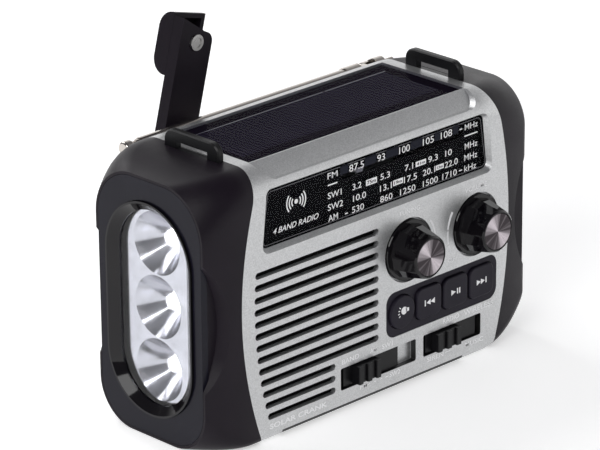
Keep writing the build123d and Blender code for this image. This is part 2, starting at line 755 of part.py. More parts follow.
def pointer_slot(grow=0.0):
    """The slot in the scale that shows the pointer."""
    half = POINTER_SLOT_HEIGHT / 2 + grow
    return block(
        (POINTER_SLOT_LEFT - grow, POINTER_SLOT_RIGHT + grow),
        (-THROUGH, 0),
        (POINTER_Z - half, POINTER_Z + half),
    )


def dial_scale():
    """The printed plate with the frequency rows, with two guide posts for the cord."""
    face = -INNER_Y + WINDOW_T + FIT
    plate = front(dial_outline(DIAL_LAP), face, face + SCALE_T)
    plate -= pointer_slot()
    for x in (-GUIDE_X, GUIDE_X):
        plate += rod_y(GUIDE_R, x, cord_guide_z(), face + SCALE_T - 0.1, DRUM_Y + DRUM_T)
    return plate


def cord_guide_z():
    """The height of the guide posts under the cord's top run."""
    return POINTER_Z - 1.2 - CORD_D - GUIDE_R


def pointer_carrier():
    """The bright pointer and the carrier that rides on the cord."""
    face = -INNER_Y + WINDOW_T + MOVE + 0.1
    half = POINTER_SLOT_HEIGHT / 2 - MOVE
    blade = block(
        (POINTER_X - POINTER_W / 2, POINTER_X + POINTER_W / 2),
        (face, DRUM_Y + DRUM_T),
        (POINTER_Z - half, POINTER_Z + half),
    )
    return blade


def cord_loop(radius_step):
    """The outline of the cord's loop round the drum and the two guide posts."""
    circles = [
        Pos(-GUIDE_X, cord_guide_z()) * CenterArc((0, 0), GUIDE_R + radius_step, 0, 360),
        Pos(GUIDE_X, cord_guide_z()) * CenterArc((0, 0), GUIDE_R + radius_step, 0, 360),
        Pos(TUNING_X, KNOB_Z) * CenterArc((0, 0), DRUM_R + MOVE + radius_step, 0, 360),
    ]
    return make_hull(circles[0].edges() + circles[1].edges() + circles[2].edges())


def dial_cord():
    """The cord that carries the pointer, a closed loop."""
    middle = DRUM_Y + DRUM_T / 2
    loop = cord_loop(CORD_D) - cord_loop(0.02)
    return front(loop, middle - CORD_D / 2, middle + CORD_D / 2)


# ---------------------------------------------------------------- speaker
def speaker_basket():
    """The steel frame of the speaker."""
    y = -INNER_Y + 0.3
    ring = rod_y(SPEAKER_R, SPEAKER_X, SPEAKER_Z, y, y + 1.5)
    ring -= rod_y(CONE_R + 0.6, SPEAKER_X, SPEAKER_Z, y - 1, y + 3)
    rim = Plane(origin=(SPEAKER_X, y + 1.5, SPEAKER_Z), x_dir=(1, 0, 0), z_dir=(0, 1, 0))
    foot = Plane(origin=(SPEAKER_X, y + SPEAKER_DEPTH, SPEAKER_Z), x_dir=(1, 0, 0), z_dir=(0, 1, 0))
    shell = loft([rim * Circle(CONE_R + 2), foot * Circle(MAGNET_R)])
    inside = loft([rim * Circle(CONE_R + 0.6), foot * Circle(MAGNET_R - 1.6)])
    return ring + (shell - inside)


def speaker_cone():
    """The paper cone with its dust cap."""
    y = -INNER_Y + 1.4
    rim = Plane(origin=(SPEAKER_X, y, SPEAKER_Z), x_dir=(1, 0, 0), z_dir=(0, 1, 0))
    foot = Plane(origin=(SPEAKER_X, y + 6.2, SPEAKER_Z), x_dir=(1, 0, 0), z_dir=(0, 1, 0))
    cone = loft([rim * Circle(CONE_R), foot * Circle(8)])
    cone -= loft([rim * Circle(CONE_R - 0.8), foot * Circle(7.2)])
    cup = rod_y(8, SPEAKER_X, SPEAKER_Z, y + 5.2, y + 6.2)
    return cone + cup


def speaker_magnet():
    """The magnet and its back plate."""
    y = -INNER_Y + 0.3 + SPEAKER_DEPTH + 0.05
    magnet = rod_y(MAGNET_R, SPEAKER_X, SPEAKER_Z, y, y + MAGNET_T)
    return chamfer(magnet.edges().filter_by(GeomType.CIRCLE), 0.6)


# ---------------------------------------------------------------- knobs
def knob_body(x):
    """A flared knob with flat facets, hollow at the back for its shaft."""
    skirt_back = -CASE_HALF_DEPTH + KNOB_WELL_DEPTH - MOVE
    lathe = Polyline(
        (0, -skirt_back),
        (KNOB_SKIRT_R - 0.8, -skirt_back),
        (KNOB_SKIRT_R, -skirt_back + 0.8),
        (KNOB_SKIRT_R, -skirt_back + 2.6),
        (KNOB_WAIST_R + 0.6, -skirt_back + 4.4),
        (KNOB_TIP_R, -KNOB_TIP_Y - 0.6),
        (KNOB_TIP_R - 0.6, -KNOB_TIP_Y),
        (0, -KNOB_TIP_Y),
        close=True,
    )
    body = revolve(Plane.XZ * make_face(lathe), Axis.Z)
    facet_back = -skirt_back + 3.0
    wedge = Pos(0, 0, facet_back) * flat(Rectangle(60, 60), 0, 20)
    prism = loft(
        [
            Plane.XY.offset(facet_back) * RegularPolygon(KNOB_WAIST_R + 0.2, KNOB_FACETS, False),
            Plane.XY.offset(-KNOB_TIP_Y + 0.5) * RegularPolygon(KNOB_TIP_R - 0.3, KNOB_FACETS, False),
        ]
    )
    body = (body - wedge) + (body & prism)
    body -= flat(Circle(KNOB_DISC_R + FIT / 2), -KNOB_TIP_Y - 0.8, 60)
    body -= flat(Circle(SHAFT_R + PRESS_FIT), -skirt_back - 1, -skirt_back + 8)
    return Pos(x, 0, KNOB_Z) * Rot(90, 0, 0) * body


def knob_disc(x):
    """The spun metal disc in a knob's tip."""
    disc = rod_y(KNOB_DISC_R, x, KNOB_Z, KNOB_TIP_Y + 0.1, KNOB_TIP_Y + 0.8)
    return chamfer(disc.edges().group_by(Axis.Y)[0], 0.2)


def shaft_front_y():
    """The front end of a knob's shaft, inside the knob."""
    return -CASE_HALF_DEPTH + KNOB_WELL_DEPTH - MOVE - 8


def tuning_drum():
    """The tuning shaft with the grooved drum that drives the cord."""
    shaft = rod_y(SHAFT_R, TUNING_X, KNOB_Z, shaft_front_y(), DRUM_Y + DRUM_T + 3)
    drum = rod_y(DRUM_R, TUNING_X, KNOB_Z, DRUM_Y, DRUM_Y + DRUM_T)
    for angle in range(0, 360, 60):
        at = Pos(TUNING_X + 12 * cos(radians(angle)), 0, KNOB_Z + 12 * sin(radians(angle)))
        drum -= at * rod_y(3.6, 0, 0, DRUM_Y - 1, DRUM_Y + DRUM_T + 1)
    return shaft + drum


def tuning_capacitor():
    """The variable capacitor behind the drum."""
    y = DRUM_Y + DRUM_T + 0.6
    half = 10.0
    body = block((TUNING_X - half, TUNING_X + half), (y, y + 11), (KNOB_Z - half, KNOB_Z + half))
    body = chamfer(body.edges().filter_by(Axis.Y), 1.0)
    return body - rod_y(SHAFT_R + SHAFT_FIT, TUNING_X, KNOB_Z, y - 1, y + 4)


def volume_shaft():
    """The volume control's shaft."""
    return rod_y(SHAFT_R, VOLUME_X, KNOB_Z, shaft_front_y(), BOARD_Y + BOARD_T + 5)


def volume_control():
    """The volume control's body on the board."""
    y = BOARD_Y + BOARD_T
    body = rod_y(8.5, VOLUME_X, KNOB_Z, y, y + 7)
    body -= rod_y(SHAFT_R + SHAFT_FIT, VOLUME_X, KNOB_Z, y - 1, y + 5.3)
    lugs = block((VOLUME_X - 6, VOLUME_X + 6), (y, y + 2), (KNOB_Z - 11.5, KNOB_Z - 7.5))
    return body + lugs


# ---------------------------------------------------------------- keys
def key_places():
    """Each oblong key's middle."""
    return [KEY_FIRST_X + KEY_PITCH * step for step in range(3)]


def key_outline(x, grow=0.0):
    """An oblong key's outline."""
    return Pos(x, KEY_Z) * RectangleRounded(KEY_W + 2 * grow, KEY_H + 2 * grow, KEY_R + grow)


def lamp_key_outline(grow=0.0):
    """The round lamp key's outline."""
    return Pos(LAMP_KEY_X, KEY_Z) * Circle(LAMP_KEY_R + grow)


def key_flange(grow=0.0):
    """The outline of the key panel's flange behind the shell."""
    lap = 1.0 + grow
    return oblong(
        PANEL_KEYS_LEFT - lap,
        PANEL_KEYS_RIGHT + lap,
        PANEL_KEYS_BOTTOM - lap,
        PANEL_KEYS_TOP + lap,
        PANEL_KEYS_R + lap / 2,
    )


def key_panel():
    """The black rubber panel that the keys stand in."""
    inset = FIT / 2
    face = oblong(
        PANEL_KEYS_LEFT + inset,
        PANEL_KEYS_RIGHT - inset,
        PANEL_KEYS_BOTTOM + inset,
        PANEL_KEYS_TOP - inset,
        PANEL_KEYS_R - inset,
    )
    panel = front(face, -CASE_HALF_DEPTH + 0.2, -INNER_Y)
    panel += front(key_flange(), -INNER_Y, -INNER_Y + 1.2)
    for x in key_places():
        panel -= front(key_outline(x, MOVE), -THROUGH, -INNER_Y + 5)
    return panel - front(lamp_key_outline(MOVE), -THROUGH, -INNER_Y + 5)


def key(outline, x):
    """A key cap with the stem that presses its switch."""
    cap_body = front(outline, -CASE_HALF_DEPTH - KEY_PROUD, -INNER_Y + 1.2)
    cap_body = fillet(cap_body.faces().sort_by(Axis.Y)[0].edges(), 0.6)
    stem_back = BOARD_Y - 1.6 - KEY_TRAVEL - 0.3
    return cap_body + rod_y(2.0, x, KEY_Z, -INNER_Y + 1.0, stem_back)


def key_switches():
    """Four small switches on the board under the keys."""
    switches = []
    for x in [LAMP_KEY_X] + key_places():
        switches.append(block((x - 3, x + 3), (BOARD_Y - 1.6, BOARD_Y), (KEY_Z - 3, KEY_Z + 3)))
    return switches


# ---------------------------------------------------------------- slide switches
def slider(plate, thumb):
    """A sliding plate with its ridged thumb piece and stem."""
    z = (SWITCH_BOTTOM + SWITCH_TOP) / 2
    half = (SWITCH_TOP - SWITCH_BOTTOM) / 2 - MOVE
    back = SWITCH_FLOOR_Y - MOVE
    face = back - SLIDER_T
    body = block(plate, (face, back), (z - half, z + half))
    knob = block(thumb, (face - THUMB_PROUD, face), (z - half + 0.5, z + half - 0.5))
    ridge = (thumb[1] - thumb[0]) / 5
    for step in (1, 3):
        at = thumb[0] + ridge * step
        knob -= block((at, at + ridge), (face - THUMB_PROUD - 1, face - THUMB_PROUD + 1.1), (0, 40))
    knob = chamfer(knob.edges().filter_by(Axis.Z).group_by(Axis.Y)[0], 0.3)
    middle = (plate[0] + plate[1]) / 2
    reach = STEM_W / 2
    stem_end = SWITCH_FLOOR_Y + 3.7
    stem = block((middle - reach, middle + reach), (back, stem_end), (z - STEM_H / 2, z + STEM_H / 2))
    return body + knob + stem


def slide_switches():
    """The two electrical switches that the sliders' stems drive."""
    z = (SWITCH_BOTTOM + SWITCH_TOP) / 2
    bodies = []
    for plate, low, high in ((BAND_PLATE, 0, BAND_TRAVEL), (MODE_PLATE, -MODE_TRAVEL, MODE_TRAVEL)):
        middle = (plate[0] + plate[1]) / 2
        face = SWITCH_FLOOR_Y + 2.0
        body = block((middle + low - 5, middle + high + 5), (face, BOARD_Y), (z - 3.4, z + 3.4))
        reach = STEM_W / 2 + MOVE
        travel = (middle + low - reach, middle + high + reach)
        body -= block(travel, (face - 1, face + 2.2), (z - 1.5, z + 1.5))
        bodies.append(body)
    return bodies


# ---------------------------------------------------------------- board and battery
def main_board():
    """The circuit board behind the controls."""
    board = block((BOARD_LEFT - 14, BOARD_RIGHT), (BOARD_Y, BOARD_Y + BOARD_T), (BOARD_BOTTOM, 20))
    board += block((BOARD_LEFT, BOARD_RIGHT), (BOARD_Y, BOARD_Y + BOARD_T), (BOARD_BOTTOM, BOARD_TOP))
    board -= rod_y(DRUM_R + 3, TUNING_X, KNOB_Z, -THROUGH, 0)
    return board - rod_y(SHAFT_R + MOVE, VOLUME_X, KNOB_Z, -THROUGH, 0)


def battery_pack():
    """Three rechargeable cells in one wrapped pack."""
    cells = []
    low = BATTERY_X - BATTERY_LENGTH / 2
    for step in range(BATTERY_CELLS):
        z = BATTERY_Z + (step - 1) * 2 * (BATTERY_R + 0.05)
        cell = rod_x(BATTERY_R, BATTERY_Y, z, low, low + BATTERY_LENGTH - 1.5)
        cells.append(cell + rod_x(2.6, BATTERY_Y, z, low + BATTERY_LENGTH - 1.6, low + BATTERY_LENGTH))
    return cells


def battery_door():
    """The door that slides down off the back."""
    door = front(door_outline(0, 1.5), CASE_HALF_DEPTH - DOOR_T, CASE_HALF_DEPTH)
    for step in range(5):
        z = DOOR_BOTTOM + 5 + 2.2 * step
        door -= block((BATTERY_X - 12, BATTERY_X + 12), (CASE_HALF_DEPTH - 0.5, 40), (z, z + 1.1))
    return door


# ---------------------------------------------------------------- crank
def gear(teeth, thickness, bore, module=GEAR_MODULE):
    """A spur gear round the origin, from z = 0 up, with a gap centred on angle 0."""
    pitch_r = module * teeth / 2
    root_r = pitch_r - 1.2 * module
    tip_r = pitch_r + 0.85 * module
    step = 2 * pi / teeth
    points = []
    for tooth in range(teeth):
        middle = (tooth + 0.5) * step
        for r, share in ((root_r, -0.30), (pitch_r, -0.215), (tip_r, -0.11)):
            points.append((r * cos(middle + share * step), r * sin(middle + share * step)))
        for r, share in ((tip_r, 0.11), (pitch_r, 0.215), (root_r, 0.30)):
            points.append((r * cos(middle + share * step), r * sin(middle + share * step)))
    wheel = flat(make_face(Polyline(*points, close=True)), 0, thickness)
    return wheel - flat(Circle(bore), -1, thickness + 1)


def on_axle(shape, x, z, y_back, turn):
    """Put a shape made along +Z on a Y axle, its far face at y_back, turned about the axle."""
    return Pos(x, y_back, z) * Rot(90, 0, 0) * Rot(0, 0, turn) * shape


def idler_place():
    """The idler's axle."""
    reach = GEAR_MODULE * (CRANK_TEETH + IDLER_PINION_TEETH) / 2
    angle = radians(IDLER_ANGLE)
    return CRANK_X + reach * cos(angle), CRANK_Z + reach * sin(angle)


def dynamo_place():
    """The dynamo's shaft."""
    reach = GEAR_MODULE * (IDLER_TEETH + DYNAMO_TEETH) / 2
    angle = radians(DYNAMO_ANGLE)
    x, z = idler_place()
    return x + reach * cos(angle), z + reach * sin(angle)


def mesh_turn(teeth, towards, tooth_there):
    """How far to turn a gear so that a gap, or a tooth, faces a direction."""
    return towards + (180.0 / teeth if tooth_there else 0.0)


def crank_axle():
    """The steel axle from the gears to the arm."""
    axle = rod_y(AXLE_R, CRANK_X, CRANK_Z, DYNAMO_BACK_Y + FRAME_T + 0.4, ARM_FRONT_Y + 3.4)
    return chamfer(axle.edges().group_by(Axis.Y)[-1], 0.4)


def crank_gear():
    """The large gear on the crank's axle."""
    wheel = gear(CRANK_TEETH, GEAR_T, AXLE_R)
    for angle in range(0, 360, 60):
        at = Pos(11 * cos(radians(angle)), 11 * sin(radians(angle)))
        wheel -= at * flat(Circle(3.4), -1, GEAR_T + 1)
    turn = mesh_turn(CRANK_TEETH, IDLER_ANGLE, False)
    return on_axle(wheel, CRANK_X, CRANK_Z, CRANK_GEAR_Y + GEAR_T, turn)


def idler_gear():
    """The compound gear between the crank's gear and the dynamo."""
    small = gear(IDLER_PINION_TEETH, CRANK_GEAR_Y - IDLER_GEAR_Y, 1.5 + SHAFT_FIT)
    large = gear(IDLER_TEETH, GEAR_T, 1.5 + SHAFT_FIT)
    x, z = idler_place()
    turn_small = mesh_turn(IDLER_PINION_TEETH, IDLER_ANGLE + 180, True)
    turn_large = mesh_turn(IDLER_TEETH, DYNAMO_ANGLE, False)
    high = on_axle(small, x, z, CRANK_GEAR_Y + GEAR_T, turn_small)
    return high + on_axle(large, x, z, IDLER_GEAR_Y + GEAR_T, turn_large)


def dynamo_pinion():
    """The dynamo's shaft and pinion."""
    pinion = gear(DYNAMO_TEETH, GEAR_T, 0.9)
    x, z = dynamo_place()
    turn = mesh_turn(DYNAMO_TEETH, DYNAMO_ANGLE + 180, True)
    on_shaft = on_axle(pinion, x, z, IDLER_GEAR_Y + GEAR_T, turn)
    return on_shaft + rod_y(1.0, x, z, DYNAMO_BACK_Y - 6, IDLER_GEAR_Y + GEAR_T)


def dynamo():
    """The dynamo's can."""
    x, z = dynamo_place()
    can = rod_y(DYNAMO_R, x, z, DYNAMO_BACK_Y - DYNAMO_L, DYNAMO_BACK_Y)
    can = chamfer(can.edges().filter_by(GeomType.CIRCLE), 0.8)
    return can - rod_y(1.0 + SHAFT_FIT, x, z, DYNAMO_BACK_Y - 7, DYNAMO_BACK_Y + 1)


def gear_frame():
    """The steel plate that carries the dynamo and the idler's axle."""
    idler_x, idler_z = idler_place()
    dynamo_x, dynamo_z = dynamo_place()
    places = ((CRANK_X, CRANK_Z), (idler_x, idler_z), (dynamo_x, dynamo_z))
    edges = []
    for x, z in places:
        edges += CenterArc((x, z), FRAME_BOSS_R, 0, 360).edges()
    plate = front(make_hull(edges), DYNAMO_BACK_Y, DYNAMO_BACK_Y + FRAME_T)
    plate -= rod_y(1.6, dynamo_x, dynamo_z, 0, 30)
    return plate + rod_y(1.5, idler_x, idler_z, DYNAMO_BACK_Y, CRANK_GEAR_Y + GEAR_T + 1)


def arm_frame(across, along, y=0.0):
    """A place on the arm, given across and along it from the grip's pin, as X, Y, Z."""
    lean = radians(CRANK_LEAN)
    pin_x = CRANK_X + CRANK_R * sin(lean)
    pin_z = CRANK_Z + CRANK_R * cos(lean)
    x = pin_x + across * cos(lean) + along * sin(lean)
    z = pin_z - across * sin(lean) + along * cos(lean)
    return x, y, z


def arm_plane(y):
    """The arm's own plane at a depth: x across the arm, y along it, facing the back."""
    lean = radians(CRANK_LEAN)
    return Plane(
        origin=arm_frame(0, 0, y), x_dir=(cos(lean), 0, -sin(lean)), z_dir=(0, -1, 0)
    )


def arm_outline(inset=0.0):
    """The arm's outline: round at the axle, cut on a slant past the grip's pin."""
    half = ARM_W / 2 - inset
    lines = Line((half, -CRANK_R), (half, 0.0))
    lines += ThreePointArc((half, 0.0), (half - 1.2, 3.0 - inset * 0.7), (half - 4.2, 4.1 - inset))
    lines += Line((half - 4.2, 4.1 - inset), (-half, 9.0 - inset))
    lines += Line((-half, 9.0 - inset), (-half, -CRANK_R))
    lines += ThreePointArc((-half, -CRANK_R), (0, -CRANK_R - half), (half, -CRANK_R))
    return make_face(lines)


def crank_arm():
    """The moulded arm, hollow on its outer side."""
    back = ARM_FRONT_Y + ARM_T
    arm = extrude(arm_plane(back) * arm_outline(), amount=ARM_T)
    arm -= extrude(arm_plane(back) * arm_outline(ARM_WALL), amount=ARM_T - ARM_WALL)
    boss = rod_y(HUB_R - 3.5, CRANK_X, CRANK_Z, CASE_HALF_DEPTH + MOVE, back)
    pin_x, _, pin_z = arm_frame(0, 0)
    arm += boss + rod_y(PIN_HEAD_R + 1.4, pin_x, pin_z, ARM_FRONT_Y + 0.5, back)
    arm -= rod_y(AXLE_R + PRESS_FIT, CRANK_X, CRANK_Z, 20, ARM_FRONT_Y + 3.4)
    return arm - rod_y(PIN_R, pin_x, pin_z, 20, 60)


def grip_pin():
    """The riveted pin that the grip turns on, with its ring-shaped head."""
    x, _, z = arm_frame(0, 0)
    pin = rod_y(PIN_R, x, z, ARM_FRONT_Y - 0.5, ARM_FRONT_Y + ARM_T + GRIP_DEPTH - 2.4)
    head = rod_y(PIN_HEAD_R, x, z, ARM_FRONT_Y - 0.8, ARM_FRONT_Y)
    head -= rod_y(PIN_HEAD_R - 1.1, x, z, ARM_FRONT_Y - 2, ARM_FRONT_Y - 0.3)
    return pin + head


def crank_grip():
    """The rounded grip that turns on its pin, hollow towards the arm."""
    low = ARM_FRONT_Y + ARM_T + MOVE
    high = low + GRIP_DEPTH
    profile = Polyline((low, -GRIP_DOWN), (low, GRIP_UP))
    profile += ThreePointArc((low, GRIP_UP), (high - 1.9, GRIP_UP - 1.8), (high, GRIP_UP - 6.0))
    profile += Line((high, GRIP_UP - 6.0), (high, -GRIP_DOWN + 7.0))
    profile += ThreePointArc((high, -GRIP_DOWN + 7.0), (high - 1.6, -GRIP_DOWN + 2.2), (low, -GRIP_DOWN))
    solid = side(make_face(profile), -GRIP_W / 2, GRIP_W / 2)
    inner = offset_grip(low, high)
    shell = solid - inner + rod_y(PIN_R + 2.2, 0, 0, low, high - 0.5)
    shell -= rod_y(PIN_R + SHAFT_FIT, 0, 0, low - 1, ARM_FRONT_Y + ARM_T + GRIP_DEPTH - 2.3)
    x, _, z = arm_frame(0, 0)
    return Pos(x, 0, z) * Rot(0, CRANK_LEAN, 0) * shell


def offset_grip(low, high):
    """The grip's hollow."""
    wall = GRIP_WALL
    box = Polyline(
        (low - 1, -GRIP_DOWN + wall + 1.5),
        (low - 1, GRIP_UP - wall),
        (low + 2.5, GRIP_UP - wall),
        (high - wall, GRIP_UP - 6.0),
        (high - wall, -GRIP_DOWN + 8.0),
        (low + 1.5, -GRIP_DOWN + wall + 1.5),
        close=True,
    )
    return side(make_face(box), -GRIP_W / 2 + wall, GRIP_W / 2 - wall)


# ---------------------------------------------------------------- antenna
def antenna_foot():
    """The swivel that turns in the right end of the antenna's shelf."""
    x = ANTENNA_HINGE_X
    foot = rod_x(KNUCKLE_R, ANTENNA_Y, ANTENNA_Z, x + FOOT_START, x + FOOT_END)
    foot += rod_x(STUD_R, ANTENNA_Y, ANTENNA_Z, x + FOOT_END - 0.1, x + FOOT_END + STUD_LENGTH)
    inner = TONGUE_T / 2 + MOVE
    outer = inner + EAR_T
    for low, high in ((-outer, -inner), (inner, outer)):
        depth = (ANTENNA_Y + low, ANTENNA_Y + high)
        ear = block((x, x + 5), depth, (ANTENNA_Z - EAR_R, ANTENNA_Z + EAR_R))
        foot += ear + rod_y(EAR_R, x, ANTENNA_Z, *depth)
    return foot - rod_y(HINGE_PIN_R + SHAFT_FIT, x, ANTENNA_Z, ANTENNA_Y - 5, ANTENNA_Y + 5)


def antenna_base_tube():
    """The outer tube with the tongue that hinges in the foot."""
    x = ANTENNA_HINGE_X
    depth = (ANTENNA_Y - TONGUE_T / 2, ANTENNA_Y + TONGUE_T / 2)
    pin_reach = TONGUE_T / 2 + MOVE + EAR_T
    tongue = block((x - 5, x), depth, (ANTENNA_Z - EAR_R, ANTENNA_Z + EAR_R))
    tongue += rod_y(EAR_R, x, ANTENNA_Z, *depth)
    tongue += rod_y(HINGE_PIN_R, x, ANTENNA_Z, ANTENNA_Y - pin_reach, ANTENNA_Y + pin_reach)
    collar = rod_x(KNUCKLE_R, ANTENNA_Y, ANTENNA_Z, x - 12, x - 4.2)
    tube = rod_x(TUBE_R[0], ANTENNA_Y, ANTENNA_Z, tube_end(0), x - 11)
    bore = rod_x(TUBE_R[0] - TUBE_WALL, ANTENNA_Y, ANTENNA_Z, tube_end(0) - 1, x - 11.5)
    return tongue + collar + (tube - bore)


def tube_end(index):
    """Where each antenna section's open end lies; each inner one stands out a little more."""
    return ANTENNA_TIP_X + TIP_L + 1.2 * (len(TUBE_R) - 1 - index) + 0.6


def antenna_section(index):
    """An inner tube of the antenna."""
    start = ANTENNA_HINGE_X - 12.5 - index
    body = rod_x(TUBE_R[index], ANTENNA_Y, ANTENNA_Z, tube_end(index), start)
    return body - rod_x(TUBE_R[index] - TUBE_WALL, ANTENNA_Y, ANTENNA_Z, tube_end(index) - 1, start - 1)


def antenna_tip():
    """The innermost rod with its button."""
    index = len(TUBE_R) - 1
    rod = rod_x(TUBE_R[index], ANTENNA_Y, ANTENNA_Z, ANTENNA_TIP_X, ANTENNA_HINGE_X - 12.5 - index)
    button = rod_x(TIP_R, ANTENNA_Y, ANTENNA_Z, ANTENNA_TIP_X, ANTENNA_TIP_X + TIP_L)
    button = fillet(button.edges().filter_by(GeomType.CIRCLE), 0.9)
    return rod + button


# ---------------------------------------------------------------- ports
def port_outline(grow=0.0):
    """The port cover's outline."""
    half = PORT_W / 2 + grow
    return oblong(
        PORT_X - half,
        PORT_X + half,
        PORT_Z - PORT_H / 2 - grow,
        PORT_Z + PORT_H / 2 + grow,
        PORT_CORNER_R + grow,
    )


def port_knuckle(grow=0.0):
    """The round bead that the port cover hinges on."""
    half = PORT_KNUCKLE_HALF + grow
    bead = Circle(PORT_KNUCKLE_R + grow)
    return Pos(PORT_X + PORT_W / 2, CASE_HALF_DEPTH) * flat(bead, PORT_Z - half, PORT_Z + half)


def port_cover():
    """The rubber flap over the sockets."""
    flap = front(port_outline(), CASE_HALF_DEPTH - PORT_T, CASE_HALF_DEPTH)
    notch = rod_y(2.5, PORT_X - PORT_W / 2, PORT_Z, CASE_HALF_DEPTH - 0.6, THROUGH)
    return flap - notch + port_knuckle()


def port_sockets():
    """The earphone and charging sockets behind the flap."""
    back = CASE_HALF_DEPTH - PORT_T - 0.8
    jack = rod_y(3.4, PORT_X - 7, PORT_Z, back - SOCKET_DEPTH, back)
    jack -= rod_y(1.8, PORT_X - 7, PORT_Z, back - SOCKET_DEPTH + 1, back + 1)
    usb = block((PORT_X - 2, PORT_X + 6), (back - SOCKET_DEPTH, back), (PORT_Z - 1.9, PORT_Z + 1.9))
    usb -= block((PORT_X - 1.4, PORT_X + 5.4), (back - 7, back + 1), (PORT_Z - 1.3, PORT_Z + 1.3))
    usb += block((PORT_X - 0.8, PORT_X + 4.8), (back - 7.1, back - 1), (PORT_Z - 0.4, PORT_Z + 0.4))
    return [jack, usb]


# ---------------------------------------------------------------- all pieces
def pieces():
    """Every sub-part by its name."""
    outer, inner, seam = outer_form(), inner_form(), seam_form()
    body = silver_body()
    keys = dict(zip(("previous_key", "play_key", "next_key"), key_places()))
    made = {
        "front_shell": front_shell(body),
        "back_shell": back_shell(body),
        "left_end_cap": left_end_cap(outer, inner, seam),
        "right_end_cap": cap(1, outer, inner, seam),
        "left_strap_loop": strap_loop(-LOOP_X),
        "right_strap_loop": strap_loop(LOOP_X),
        "base_strips": base_strips(),
        "rubber_feet": rubber_feet(),
        "case_screws": case_screws(),
        "lamp_bezel": lamp_bezel(),
        "lamp_ring": lamp_ring(),
        "lamp_lens": lamp_lens(),
        "lamp_reflector": lamp_reflector(),
        "lamp_leds": lamp_leds(),
        "solar_cell": solar_cell(),
        "solar_cover": solar_cover(),
        "dial_window": dial_window(),
        "dial_scale": dial_scale(),
        "dial_pointer": pointer_carrier(),
        "dial_cord": dial_cord(),
        "speaker_basket": speaker_basket(),
        "speaker_cone": speaker_cone(),
        "speaker_magnet": speaker_magnet(),
        "tuning_knob": knob_body(TUNING_X),
        "tuning_knob_disc": knob_disc(TUNING_X),
        "tuning_drum": tuning_drum(),
        "tuning_capacitor": tuning_capacitor(),
        "volume_knob": knob_body(VOLUME_X),
        "volume_knob_disc": knob_disc(VOLUME_X),
        "volume_shaft": volume_shaft(),
        "volume_control": volume_control(),
        "key_panel": key_panel(),
        "lamp_key": key(lamp_key_outline(), LAMP_KEY_X),
        "key_switches": key_switches(),
        "band_slider": slider(BAND_PLATE, BAND_THUMB),
        "mode_slider": slider(MODE_PLATE, MODE_THUMB),
        "slide_switches": slide_switches(),
        "main_board": main_board(),
        "battery_pack": battery_pack(),
        "battery_door": battery_door(),
        "crank_axle": crank_axle(),
        "crank_gear": crank_gear(),
        "crank_arm": crank_arm(),
        "grip_pin": grip_pin(),
        "crank_grip": crank_grip(),
        "idler_gear": idler_gear(),
        "dynamo_pinion": dynamo_pinion(),
        "dynamo": dynamo(),
        "gear_frame": gear_frame(),
        "antenna_foot": antenna_foot(),
        "antenna_base_tube": antenna_base_tube(),
        "antenna_tip": antenna_tip(),
        "port_cover": port_cover(),
        "port_sockets": port_sockets(),
    }
    for name, x in keys.items():
        made[name] = key(key_outline(x), x)
    for index in range(1, len(TUBE_R) - 1):
        made[f"antenna_tube_{index}"] = antenna_section(index)
    return made


os.makedirs("parts", exist_ok=True)
for node, shape in pieces().items():
    whole = Compound(children=list(shape)) if isinstance(shape, list) else shape
    export_step(whole, f"parts/{node}.step")
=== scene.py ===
import json
import math

import bmesh
import bpy
from mathutils import Matrix, Vector


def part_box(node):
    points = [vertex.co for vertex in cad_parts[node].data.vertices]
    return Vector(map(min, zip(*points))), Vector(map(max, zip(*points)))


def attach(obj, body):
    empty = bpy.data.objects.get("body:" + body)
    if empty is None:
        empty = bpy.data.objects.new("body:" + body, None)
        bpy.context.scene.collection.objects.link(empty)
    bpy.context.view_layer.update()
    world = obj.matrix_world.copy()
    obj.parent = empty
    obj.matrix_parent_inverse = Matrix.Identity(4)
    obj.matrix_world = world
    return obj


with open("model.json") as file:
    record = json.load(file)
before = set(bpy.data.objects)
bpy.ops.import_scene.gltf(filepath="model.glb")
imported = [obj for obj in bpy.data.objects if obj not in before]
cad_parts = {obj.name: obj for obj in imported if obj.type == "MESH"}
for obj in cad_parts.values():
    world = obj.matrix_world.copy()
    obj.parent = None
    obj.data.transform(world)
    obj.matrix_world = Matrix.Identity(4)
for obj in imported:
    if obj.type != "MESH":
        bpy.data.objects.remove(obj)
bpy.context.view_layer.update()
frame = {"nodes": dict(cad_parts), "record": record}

MM = 0.001


# ---------------------------------------------------------------- places read from the frame
def middle(node):
    """The middle of a CAD node."""
    low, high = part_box(node)
    return (low + high) / 2


FACE_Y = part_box("front_shell")[0].y
DIAL_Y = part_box("dial_window")[0].y
KEY_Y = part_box("lamp_key")[0].y
TUNING = middle("tuning_knob")
VOLUME = middle("volume_knob")
SHELL_INNER_Y = 30.85 * MM          # just past the shell's inner faces
WINDOW_FLOOR_Y = -30.35 * MM        # just in front of the switch windows' floors
SHADE_SHEET_Y = -30.60 * MM               # where the painted shade sheet sits, between the shell and the speaker
PAINTED_DISC_HIGHLIGHT = math.radians(100.0)  # turns the discs' painted bow-tie highlight by half as much
